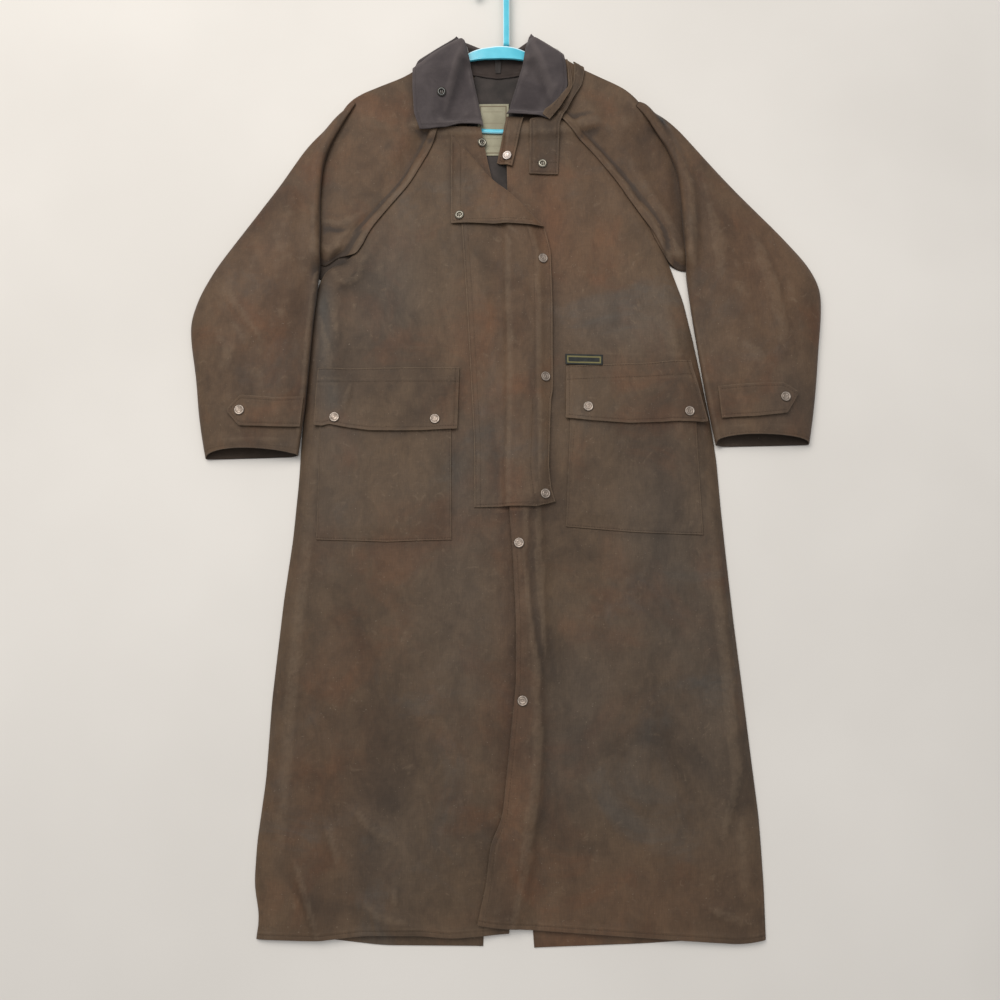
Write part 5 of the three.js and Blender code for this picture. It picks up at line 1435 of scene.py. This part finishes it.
def lay_sleeve(name, node, sections, folds, seed, flat, cuff_set_back, cuff_peak):
    fine = sleeve_sections(sections)
    inner_edge, outer_edge, tall = fine[:, 0:2], fine[:, 2:4], fine[:, 4:5]
    share = roundly(HALF_RING)[None, :]
    plan = inner_edge[:, None] + (outer_edge - inner_edge)[:, None] * share[..., None]
    bed = draped(plan, 4.0) + GAP * 0.5 + 0.1
    fullness = 4 * share * (1 - share)
    edge = np.minimum(SLEEVE_EDGE_HEIGHT, tall * 0.4)
    mouth = edge_distances(plan)[3]
    skewed = share ** (math.log(0.5) / math.log(cuff_peak))
    set_back = cuff_set_back * np.sqrt(4 * skewed * (1 - skewed)) * np.exp(-mouth / 26)
    x, y = plan[..., 0], plan[..., 1] + set_back
    shape = fold_height(folds, x, y) + crumple(x, y, seed, 1.3)
    flat_top = edge + (tall - edge) * fullness ** 0.4
    hem = (stitched_hem(mouth, 0.6, 9.0, 22.0)) * (mouth < 40)
    settle = np.sqrt(fullness) * (0.35 + 0.65 * ease(mouth / 60))
    high = flat_top + shape * settle + hem * np.sqrt(fullness)
    low = edge * (1 - fullness ** 0.25)

    def ring(inset, dy):
        trimmed = inset / np.hypot(*(outer_edge - inner_edge).T)[:, None]
        u = mix(trimmed, 1 - trimmed, share)
        at = inner_edge[:, None] + (outer_edge - inner_edge)[:, None] * u[..., None]
        lower, upper = low + inset, high - inset
        centre = (lower + upper) / 2
        lower, upper = np.minimum(lower, centre - 0.2), np.maximum(upper, centre + 0.2)
        ends = (share == 0) | (share == 1)
        lower, upper = np.where(ends, edge, lower), np.where(ends, edge, upper)
        under = np.dstack([at[..., 0], at[..., 1], bed + lower])
        over = np.dstack([at[..., 0], at[..., 1] + dy, bed + upper])
        return np.concatenate([under, over[:, -2:0:-1]], axis=1), over

    outer, over = ring(0.0, set_back)
    inner, _ = ring(SLEEVE_WALL, set_back)
    points, faces = ring_faces(outer, inner)
    top_wear_and_shade = wear_and_shade_of(bed + high)
    top_wear_and_shade = np.maximum(top_wear_and_shade, 0.5 * np.exp(-(mouth / 1.8) ** 2))
    ring_wear_and_shade = np.concatenate([np.zeros_like(top_wear_and_shade), top_wear_and_shade[:, -2:0:-1]], axis=1)
    # Painted shade on the inside of the sleeve tube
    inside_shade = np.full(ring_wear_and_shade.shape, -0.9)
    rims = np.concatenate([np.zeros(outer.shape[1]), np.full(outer.shape[1], 0.45)])
    all_wear_and_painted_light = np.concatenate([ring_wear_and_shade.ravel(), inside_shade.ravel(), rims])
    piece = add_mesh(name, points, faces, MATERIALS["cloth"], colour_attributes(points, all_wear_and_painted_light))
    lay(over)
    area = 2.1 * flat_area(plan) / 1e6
    width, length = flat
    dress(piece, [node], "waxed_cloth", flat=flat, held="folded", area=min(area, width * length),
          rests_on=["cloth_shoulder_left" if "left" in name else "cloth_shoulder_right"])
    return over


left_over = lay_sleeve("cloth_sleeve_left", "sleeve_left", LEFT_SLEEVE, LEFT_SLEEVE_FOLDS, 71,
                       (0.42, 0.62), 11, 0.64)
right_over = lay_sleeve("cloth_sleeve_right", "sleeve_right", RIGHT_SLEEVE, RIGHT_SLEEVE_FOLDS, 81,
                        (0.43, 0.60), 13, 0.34)


# Cuff tabs, pockets, flaps and the patch

def double_hem(d, thick=0.5, sides=(True, True, True, True), at=5.2):
    """Hem relief along the chosen edges: left, right, first, last."""
    chosen = [distance for distance, has in zip(d, sides) if has]
    nearest = np.minimum.reduce(chosen)
    return stitched_hem(nearest, thick, at, 8.5) * (nearest < 24)


LEFT_TAB = (line((-286, 150), (-327, 147), (-377, 150), (-395, 129)),
            line((-290, 104), (-329, 103), (-377, 104), (-395, 125)))
RIGHT_TAB = (line((318, 165), (365, 168), (412, 169), (433, 156)),
             line((322, 117), (370, 118), (416, 123), (433, 151)))
for name, node, tab, seed in (("cloth_tab_left", "cuff_tab_left", LEFT_TAB, 91),
                              ("cloth_tab_right", "cuff_tab_right", RIGHT_TAB, 92)):
    lay_cloth(name, plan_between(*tab, FINE_GRID, radius=2), [node], "waxed_cloth", MATERIALS["cloth"],
              1.8, 4.0, relief=lambda x, y, d: double_hem(d, 0.3), unevenness=0.5, seed=seed, edge_wear=0.7,
              lift=lambda x, y, d: 0.8 + 1.0 * ease(d[2] / 40))

POCKETS = (
    ("cloth_pocket_left", "pocket_left", line((-264, 176), (-72, 176)),
     line((-262, -60), (-160, -63), (-69, -60)), 93,
     [(((-220, 90), (-200, 40), (-210, -10)), 14, 20, 1.5),
      (((-120, 80), (-110, 20), (-130, -30)), 16, 22, 1.1)]),
    ("cloth_pocket_right", "pocket_right", line((106, 178), (286, 178)),
     line((94, -41), (190, -49), (290, -53)), 94,
     [(((140, 90), (150, 30), (136, -20)), 14, 20, 1.2),
      (((240, 90), (232, 20), (244, -30)), 16, 22, 1.2)]),
)
for name, node, upper, lower, seed, folds in POCKETS:
    def pocket_lift(x, y, d):
        return (1.4 + fold_height(folds, x, y)) * ease(np.minimum.reduce(d) / 26)

    lay_cloth(name, plan_between(upper, lower, 3.4, radius=3), [node], "waxed_cloth", MATERIALS["cloth"],
              1.4, 3.0, pocket_lift, lambda x, y, d: groove(d[0] - 2.4, 0.4) + groove(d[1] - 2.4, 0.4),
              unevenness=0.7, seed=seed, edge_wear=0.6)

FLAPS = (
    ("cloth_flap_left", "pocket_flap_left", line((-269, 196), (-160, 198), (-60, 198)),
     line((-272, 108), (-258, 106), (-250, 109), (-222, 104), (-190, 100), (-108, 100), (-62, 103)), 95,
     [(((-219, 172), (-222, 150), (-228, 126)), 4, 9, 2.4),
      (((-228, 176), (-236, 150), (-240, 132)), 5, 8, -1.6)]),
    ("cloth_flap_right", "pocket_flap_right", line((98, 201), (200, 205), (283, 209)),
     line((96, 120), (133, 115), (188, 111), (250, 113), (303, 113)), 96,
     [(((150, 180), (160, 160), (156, 140)), 8, 12, 0.9),
      (((262, 190), (266, 160), (262, 130)), 8, 12, 0.8)]),
)
for name, node, upper, lower, seed, folds in FLAPS:
    def flap_lift(x, y, d):
        return 1.5 * clamp(d[0] / 80) + fold_height(folds, x, y) * ease(d[0] / 12)

    def flap_relief(x, y, d):
        hems = double_hem(d, 0.35, (False, True, True, True))
        return hems + groove(d[0] - 2.2, 0.5) + groove(d[0] - 22, 0.7)

    lay_cloth(name, plan_between(upper, lower, FINE_GRID, radius=3), [node], "waxed_cloth",
              MATERIALS["cloth"], 1.9, 4.0, flap_lift, flap_relief, unevenness=0.5, seed=seed, edge_wear=0.8)


def patch_border(distances):
    nearest = np.minimum.reduce(distances)
    return np.exp(-((nearest - 3.6) / 0.9) ** 4)


PATCH = (line((97, 220), (153, 218)), line((97, 203), (152, 201)))
lay_cloth("label_patch", plan_between(*PATCH, 1.6, radius=1), ["woven_patch"], "patch", MATERIALS["patch"],
          0.8, 2.0, unevenness=0, border=patch_border, edge_wear=0.1,
          relief=lambda x, y, d: -0.3 * ease(np.minimum.reduce(d) / 2.0))


# Storm flap with its turned-over top corner, neck tab and throat strap

STORM_SEAM = line((-72, 566), (-66, 500), (-59, 430), (-50, 296), (-44, 194), (-38, 87), (-37, -13))
STORM_EDGE = line((-50, 547), (-15, 505), (37, 456), (68, 422), (77, 383), (79, 300), (78, 163), (75, 147),
                  (71, 48), (74, 14), (80, -5))
STORM_FOLDS = [
    (((42, 400), (48, 372), (50, 350)), 6, 9, -0.8),
    (((2, 427), (12, 414), (26, 400)), 4, 8, -2.0),
    (((42, 339), (50, 312), (55, 289)), 5, 8, -1.8),
    (((42, 169), (52, 144), (50, 27)), 4, 9, -2.2),
    (((48, 180), (58, 150), (60, 30)), 10, 12, 1.0),
    (((-7, 117), (-8, 70), (-7, 17)), 5, 8, -1.8),
    (((-14, 250), (-10, 150), (4, 60)), 14, 20, 1.6),
    (((20, 300), (14, 220), (24, 130)), 12, 16, 1.0),
    (((-30, 380), (-20, 300), (-26, 220)), 10, 14, 0.9),
]
STORM_STITCH = 27
STORM_WAVE = ((0, 0), (0.45, -3), (0.76, -6), (1, 0))


def storm_lift(x, y, d):
    share = d[0] / (d[0] + d[1])
    body = 3.2 * np.sin(np.pi * clamp(share * 0.72)) * ease((y + 30) / 60 + 0.35)
    return np.maximum(body + fold_height(STORM_FOLDS, x, y) * ease(d[0] / 14), 0.0)


def storm_relief(x, y, d):
    below_corner = ease((430 - y) / 12)
    edges = double_hem(d, 0.3, (False, True, False, True), 3.0)
    return (edges + groove(d[1] - STORM_STITCH, 0.6) * below_corner + groove(d[0] - 2.6, 0.5)
            + groove(d[0] - 9, 0.4))


storm_plan = waved(plan_between(STORM_SEAM, STORM_EDGE, 3.2, radius=5), STORM_WAVE, 40)
lay_cloth("cloth_storm_flap", storm_plan, ["storm_flap"],
          "waxed_cloth", MATERIALS["cloth"], 1.8, 4.0, storm_lift, storm_relief, 0.7, 101, 0.8,
          sheet={"flat": (0.15, 0.59), "held": "laid", "rests_on": ["cloth_front_left", "cloth_front_right"]})


def corner_grid():
    """The turned corner as a triangle: its left edge, its bottom edge and its slanting fold."""
    left = rounded(line((-76, 578), (-76, 500), (-75, 429)), 4)
    fold = rounded(line((-76, 578), (-48, 545), (-14, 503), (10, 482), (38, 455), (68, 420)), 6)
    rows = edge_steps(150, 2.6, (True, True))
    columns = edge_steps(120, 2.6, (True, True))
    left_x, left_y = along(left, rows).T
    right_x, right_y = along(fold, rows).T
    x = left_x[:, None] + (right_x - left_x)[:, None] * columns
    y = left_y[:, None] + (right_y - left_y)[:, None] * columns
    return np.dstack([x, y])


def corner_lift(x, y, d):
    share = clamp(d[0] / np.maximum(d[0] + d[1], 1e-3))
    middle = 5.5 * share * (1 - share) + 1.6 * np.exp(-(d[3] / 14) ** 2)
    return middle


def corner_relief(x, y, d):
    fold_round = -2.2 * (1 - np.sqrt(np.maximum(1 - (1 - clamp(d[1] / 3.2)) ** 2, 0)))
    return (groove(d[0] - 15, 0.7) + groove(d[0] - 3, 0.4) + groove(d[3] - 4, 0.4) + fold_round)


lay_cloth("cloth_turned_corner", corner_grid(), ["storm_flap_turned_corner"], "waxed_cloth",
          MATERIALS["reverse"], 1.8, 4.0, corner_lift, corner_relief, 0.5, 103, 0.8,
          sheet={"flat": (0.15, 0.17), "held": "folded", "rests_on": ["cloth_storm_flap"]})

NECK_TAB = (line((10, 609), (-5, 533)), line((37, 608), (19, 525)))
lay_cloth("cloth_neck_tab", plan_between(*NECK_TAB, 2.2, radius=1), ["neck_tab"], "waxed_cloth",
          MATERIALS["cloth"], 1.9, 3.0, lambda x, y, d: 0.6 + 0.02 * d[2],
          lambda x, y, d: double_hem(d, 0.3, at=4.0), 0.3, 104, 0.8)
THROAT_STRAP = (
    line((116, 704), (117, 686), (115, 662), (104, 636), (84, 612), (46, 602), (46, 560), (45, 512)),
    line((130, 703), (133, 682), (128, 658), (113, 634), (100, 612), (93, 594), (92, 556), (90, 511)),
)


def strap_relief(x, y, d):
    return double_hem(d, 0.4, (True, True, False, True), 4.2) + groove(d[3] - 20, 0.6)


lay_cloth("cloth_throat_strap", plan_between(*THROAT_STRAP, 2.6, radius=4), ["throat_strap"], "waxed_cloth",
          MATERIALS["strap"], 1.9, 3.0, lambda x, y, d: 0.8 + 0.5 * np.sin(np.pi * d[2] / 210), strap_relief,
          0.4, 105, 0.8)


# Collar leaves: up from the neck seam to the fold, then out and down over the shoulder

COLLAR_LEFT = {
    "seam": line((-64, 750), (-53, 724), (-48, 704), (-42, 676), (-36, 645), (-28, 609), (-26, 590)),
    "fold": line((-70, 757), (-60, 729), (-55, 709), (-49, 677), (-42, 647), (-34, 611), (-31, 592)),
    "hem": line((-71, 759), (-104, 737), (-132, 717), (-138, 700), (-137, 650), (-134, 610), (-125, 584)),
    "wave": ((0, -2), (0.15, 1), (0.35, 3), (0.6, -1), (0.85, -1), (1, 0)),
}
COLLAR_RIGHT = {
    "seam": line((46, 752), (40, 722), (37, 702), (29, 676), (20, 646), (10, 614)),
    "fold": line((50, 760), (46, 728), (44, 702), (36, 676), (27, 647), (16, 613)),
    "hem": line((51, 762), (80, 739), (100, 716), (104, 692), (106, 656), (98, 634), (75, 600)),
    "wave": ((0, -5), (0.25, -3), (0.5, 0), (0.8, 2), (1, 0)),
}
LEAF_RISES = [0.45, 0.85, 1]
LEAF_FALLS = [1, 0.93, 0.78, 0.58, 0.34, 0]
COLLAR_FOLDS_LEFT = [
    (((-60, 600), (-46, 612), (-36, 604)), 5, 7, -2.2),
    (((-70, 592), (-58, 604), (-50, 596)), 5, 6, 1.4),
    (((-90, 720), (-96, 660), (-92, 610)), 18, 24, 1.0),
]
COLLAR_FOLDS_RIGHT = [
    (((70, 640), (84, 652), (94, 660)), 6, 9, 1.4),
    (((30, 622), (44, 628), (54, 620)), 5, 6, -1.6),
    (((70, 720), (74, 690), (66, 650)), 14, 18, 1.0),
]


LEAF_WAVE_FADE = 45


def lay_leaf(name, node, leaf, folds, seed):
    plan, share, rows = tent_plan(leaf, 2.6)
    plan = waved(plan, leaf["wave"], LEAF_WAVE_FADE)
    profile = tent_height(share, LEAF_RISES, LEAF_FALLS)
    profile = np.convolve(np.pad(profile, 2, mode="edge"), np.ones(5) / 5, "valid")
    tall = 2 + 9 * np.sin(np.pi * clamp(0.12 + rows * 0.8))
    lift = tall[:, None] * profile[None, :]
    lay_cloth(name, plan, [node], "collar_cloth", MATERIALS["collar"], COLLAR_CLOTH, 4.0,
              lift=lambda x, y, d: np.maximum(lift + fold_height(folds, x, y) * ease(d[0] / 8), 0),
              relief=lambda x, y, d: double_hem(d, 0.35, (False, True, True, True), 5.0), unevenness=0.5,
              seed=seed, edge_wear=0.5)


lay_leaf("collar_cloth_left", "collar_left", COLLAR_LEFT, COLLAR_FOLDS_LEFT, 111)
lay_leaf("collar_cloth_right", "collar_right", COLLAR_RIGHT, COLLAR_FOLDS_RIGHT, 112)

UNDERCOLLAR_EDGE = (
    line((104, 700), (106, 684), (107, 653), (92, 636), (71, 618), (66, 606)),
    line((106, 700), (111, 684), (114, 656), (108, 642), (91, 616), (77, 597)),
)
lay_cloth("cloth_undercollar_edge", plan_between(*UNDERCOLLAR_EDGE, 1.6, ALL_PLAIN, 4), ["undercollar_edge"],
          "waxed_cloth", MATERIALS["reverse"], 1.4, 2.0, unevenness=0, edge_wear=0.8,
          relief=lambda x, y, d: -0.4 * np.ones_like(x))


# Snap fasteners

CAPS = (
    ("snap_storm_upper", 65, 369), ("snap_storm_middle", 67, 182), ("snap_storm_lower", 65, 6),
    ("snap_front_upper", 27, -65), ("snap_front_lower", 31, -284), ("snap_flap_left_outer", -241, 119),
    ("snap_flap_left_inner", -95, 117), ("snap_flap_right_inner", 129, 136),
    ("snap_flap_right_outer", 276, 128), ("snap_cuff_left", -377, 127),
    ("snap_cuff_right", 414, 147), ("snap_neck_tab", 11, 542),
)
SOCKETS = (
    ("socket_collar", -91, 642), ("socket_front_left", -28, 566), ("socket_turned_corner", -62, 441),
    ("socket_throat_strap", 66, 529),
)
# radius and height shares, and the painted highlight (above 0) or painted shade (below 0) on the metal there
CAP_PROFILE = line(
    (0.0, 0.62, 0.2), (0.12, 0.64, 0.3), (0.2, 0.56, -0.2), (0.34, 0.6, 0.2), (0.46, 0.72, 0.4),
    (0.54, 0.7, 0.2), (0.6, 0.56, -0.5), (0.68, 0.6, 0.0), (0.8, 0.78, 0.5), (0.9, 0.74, 0.4),
    (0.98, 0.5, 0.0), (1.0, 0.24, -0.4), (0.97, 0.0, -0.6))
SOCKET_PROFILE = line(
    (0.0, 0.1, -1.0), (0.3, 0.1, -1.0), (0.5, 0.12, -0.9), (0.55, 0.5, -0.2), (0.6, 0.84, 0.5),
    (0.68, 0.9, 0.5), (0.75, 0.72, -0.3), (0.8, 0.5, -0.9), (0.87, 0.56, -0.7), (0.94, 0.5, -0.5),
    (0.98, 0.3, -0.7), (0.96, 0.0, -0.9))
SNAP_SIDES = 48
SNAP_SLOPE = 0.35
SPRING_STEPS = 14
SPRING_SIDES = 6


def seat_of(x, y):
    """Where a snap sits on the cloth at x, y: its middle's height and the cloth's slope there."""
    reach = SNAP_RADIUS * 0.75

    def here(dx, dy):
        return float(sample(pile, np.array([x + dx]), np.array([y + dy]))[0])

    slope_x = clamp((here(reach, 0) - here(-reach, 0)) / (2 * reach), -SNAP_SLOPE, SNAP_SLOPE)
    slope_y = clamp((here(0, reach) - here(0, -reach)) / (2 * reach), -SNAP_SLOPE, SNAP_SLOPE)
    turns = np.linspace(0, 2 * np.pi, 13)[:-1]
    seat = max(here(r * math.cos(t), r * math.sin(t)) - slope_x * r * math.cos(t) - slope_y * r * math.sin(t)
               for r in (0.0, 3.5, 6.8) for t in turns)
    return seat, slope_x, slope_y


def add_snap(name, node, x, y, profile, material, spring=False):
    seat, slope_x, slope_y = seat_of(x, y)
    turn = 2 * np.pi * np.arange(SNAP_SIDES) / SNAP_SIDES
    radius, height = profile[1:, 0] * SNAP_RADIUS, profile[1:, 1] * SNAP_HEIGHT
    px = radius[:, None] * np.cos(turn)
    py = radius[:, None] * np.sin(turn)
    pz = height[:, None] + 0 * turn
    points = np.dstack([px, py, pz]).reshape(-1, 3)
    points = np.concatenate([points, [[0, 0, profile[0, 1] * SNAP_HEIGHT], [0, 0, 0]]])
    # The foot ring gets painted shade
    wear_and_painted_light = np.concatenate([np.repeat(profile[1:, 2], SNAP_SIDES), [profile[0, 2], -0.6]])
    count = len(radius)
    index = np.arange(count * SNAP_SIDES).reshape(count, SNAP_SIDES)
    after = np.roll(np.arange(SNAP_SIDES), -1)
    quads = [np.stack([index[:-1], index[1:], index[1:, after], index[:-1, after]], -1).reshape(-1, 4)]
    centre, foot = count * SNAP_SIDES, count * SNAP_SIDES + 1
    triangles = [np.stack([index[0], index[0, after], np.full(SNAP_SIDES, centre)], -1),
                 np.stack([index[-1, after], index[-1], np.full(SNAP_SIDES, foot)], -1)]
    if spring:
        for sign in (-1, 1):
            t = np.linspace(0, 1, SPRING_STEPS)
            bow = sign * (0.16 + 0.06 * np.sin(np.pi * t)) * SNAP_RADIUS
            height = np.full(SPRING_STEPS, 0.34 * SNAP_HEIGHT)
            path = np.column_stack([bow, (t - 0.5) * 0.72 * SNAP_RADIUS, height])
            tube = np.stack([path + (0.035 * SNAP_RADIUS * math.cos(a), 0, 0.05 * SNAP_HEIGHT * math.sin(a))
                             for a in np.linspace(0, 2 * np.pi, SPRING_SIDES + 1)[:-1]], axis=1)
            start = len(points)
            ring = start + np.arange(SPRING_STEPS * SPRING_SIDES).reshape(SPRING_STEPS, SPRING_SIDES)
            following = np.roll(np.arange(SPRING_SIDES), -1)
            wall = np.stack([ring[:-1], ring[1:], ring[1:, following], ring[:-1, following]], -1)
            quads.append(wall.reshape(-1, 4))
            triangles.append(np.array([[ring[0, 0], ring[0, k], ring[0, k + 1]] for k in range(1, 5)]))
            triangles.append(np.array([[ring[-1, 0], ring[-1, k + 1], ring[-1, k]] for k in range(1, 5)]))
            points = np.concatenate([points, tube.reshape(-1, 3)])
            # Painted highlight along the socket springs
            wear_and_painted_light = np.concatenate([wear_and_painted_light, np.full(14 * 6, 0.6)])
    normal = Vector((-slope_x, -slope_y, 1)).normalized()
    lean = np.array(Vector((0, 0, 1)).rotation_difference(normal).to_matrix())
    points = points @ lean.T + (x, y, seat + 0.1)
    piece = add_mesh(name, points, np.concatenate(quads), material, {"wear_and_painted_light": wear_and_painted_light}, np.concatenate(triangles))
    dress(piece, [node], "snap_metal")


for node, x, y in CAPS:
    cap = "bright_cap" if node == "snap_neck_tab" else "cap"
    add_snap("metal_" + node, node, x, y, CAP_PROFILE, MATERIALS[cap])
for node, x, y in SOCKETS:
    socket = "dull_socket" if node == "socket_collar" else "socket"
    add_snap("metal_" + node, node, x, y, SOCKET_PROFILE, MATERIALS[socket], spring=True)


# Stitching: short threads that lie on the cloth along each sewn line

STITCH_LENGTH = 2.7
STITCH_PITCH = 3.9
STITCH_RADIUS = 0.26


def stitches(name, paths, material):
    starts, ends = [], []
    for path in paths:
        path = rounded(path, 3) if len(path) > 2 else path
        total = length_of(path)
        count = int(total / STITCH_PITCH)
        places = (np.arange(count) + 0.5) / count
        half = STITCH_LENGTH / 2 / total
        starts.append(along(path, places - half))
        ends.append(along(path, places + half))
    a, b = np.concatenate(starts), np.concatenate(ends)
    za, zb = (sample(pile, p[:, 0], p[:, 1]) + 0.05 for p in (a, b))
    a, b = np.column_stack([a, za]), np.column_stack([b, zb])
    ahead = b - a
    ahead = ahead / np.linalg.norm(ahead, axis=1, keepdims=True)
    side = np.column_stack([-ahead[:, 1], ahead[:, 0], np.zeros(len(a))])
    up = np.cross(ahead, side)
    rings = []
    for share in (0.22, 0.78):
        centre = mix(a, b, share)
        for k in range(4):
            angle = np.pi * (k + 0.5) / 2
            rings.append(centre + STITCH_RADIUS * (side * math.cos(angle) + up * math.sin(angle)))
    points = np.stack([a, *rings, b], axis=1)
    base = 10 * np.arange(len(a))[:, None]
    quads = [[1 + k, 1 + (k + 1) % 4, 5 + (k + 1) % 4, 5 + k] for k in range(4)]
    triangles = [[0, 1 + (k + 1) % 4, 1 + k] for k in range(4)]
    triangles += [[9, 5 + k, 5 + (k + 1) % 4] for k in range(4)]
    quads = np.concatenate([base + np.array(q) for q in quads])
    triangles = np.concatenate([base + np.array(t) for t in triangles])
    piece = add_mesh(name, points.reshape(-1, 3), quads, material, triangles=triangles)
    dress(piece, [], "waxed_cloth")


def offset_line(path, distance):
    """The line moved sideways by a distance: above 0 to the left of its direction."""
    path = rounded(path, 4)
    ahead = np.gradient(path, axis=0)
    ahead = ahead / np.maximum(np.linalg.norm(ahead, axis=1, keepdims=True), 1e-6)
    return path + np.column_stack([-ahead[:, 1], ahead[:, 0]]) * distance


def edge_line(rows, column):
    return line(*[(row[column], row[0]) for row in rows])


stitches("thread_front_hems", [
    offset_line(LEFT_FRONT_HEM[:-1], 6.2),
    offset_line(RIGHT_FRONT_HEM, 6.2),
    offset_line(edge_line([row for row in RIGHT_FRONT_ROWS if row[0] < -14], 1), 6.2),
], MATERIALS["thread"])
stitches("thread_storm_flap", [
    offset_line(STORM_EDGE[3:], -3.0), offset_line(STORM_EDGE[3:], -27),
    line((-34, -9), (70, -6)), offset_line(STORM_SEAM[2:], 2.6), offset_line(STORM_SEAM[2:], 9),
], MATERIALS["thread"])
stitches("thread_turned_corner", [
    line((-61, 552), (-61, 500), (-60, 434)), line((-73, 562), (-73, 500), (-72, 433)),
    line((-72, 433), (-33, 434), (-3, 433), (50, 430)),
], MATERIALS["thread"])
for side, (_, _, upper, lower, _, _) in zip(("left", "right"), POCKETS):
    stitches("thread_pocket_" + side, [
        line(upper[0] + (2.4, -76), lower[0] + (2.4, 3)),
        line(upper[-1] + (-2.4, -70), lower[-1] + (-2.4, 3)),
        lower + (0, 3),
    ], MATERIALS["thread"])
for side, (_, _, upper, lower, _, _) in zip(("left", "right"), FLAPS):
    stitches("thread_flap_" + side, [
        upper - (0, 2.2), upper - (0, 22), lower + (0, 5.2),
        line(upper[-1] + (-5.2, 0), lower[-1] + (-5.2, 4)),
    ] + ([line(upper[0] + (5.2, 0), lower[0] + (5.2, 4))] if side == "right" else []), MATERIALS["thread"])
stitches("thread_tabs", [
    LEFT_TAB[0] + (0, -5.0), LEFT_TAB[1] + (0, 5.0), RIGHT_TAB[0] + (0, -5.0), RIGHT_TAB[1] + (0, 5.0),
], MATERIALS["thread"])
stitches("thread_throat", [
    offset_line(THROAT_STRAP[0][4:], 4.2), offset_line(THROAT_STRAP[1][4:], -4.2),
    line((48, 531), (89, 531)), line((48, 516), (88, 515)),
    offset_line(NECK_TAB[0], 4), offset_line(NECK_TAB[1], -4), line((0, 537), (17, 530)),
], MATERIALS["thread"])
stitches("thread_collar", [
    offset_line(COLLAR_LEFT["hem"], 5), offset_line(COLLAR_RIGHT["hem"], -5),
    line((-124, 591), (-81, 590), (-50, 600)),
], MATERIALS["collar_thread"])
stitches("thread_cuffs", [
    left_over[-7, 3:-3, :2][::2], right_over[-7, 3:-3, :2][::2],
], MATERIALS["thread"])


# Floor, light and camera

FLOOR_HALF = 4000


def add_floor():
    corners = [(-FLOOR_HALF, -FLOOR_HALF, 0), (FLOOR_HALF, -FLOOR_HALF, 0), (FLOOR_HALF, FLOOR_HALF, 0),
               (-FLOOR_HALF, FLOOR_HALF, 0)]
    piece = add_mesh("floor", corners, [[0, 1, 2, 3]], MATERIALS["floor"])
    piece.location.z = -0.0002


add_floor()
add_camera()
add_world(0.45)
add_area_light("window", (-0.9, 1.3, 2.2), (0, 0, 0), (2.0, 1.6), 51, (1.0, 0.98, 0.95))
add_area_light("ceiling", (0.3, 0.1, 2.8), (0, 0, 0), (3.0, 3.0), 34, (0.97, 0.98, 1.0))
bpy.context.scene.view_settings.view_transform = "Standard"
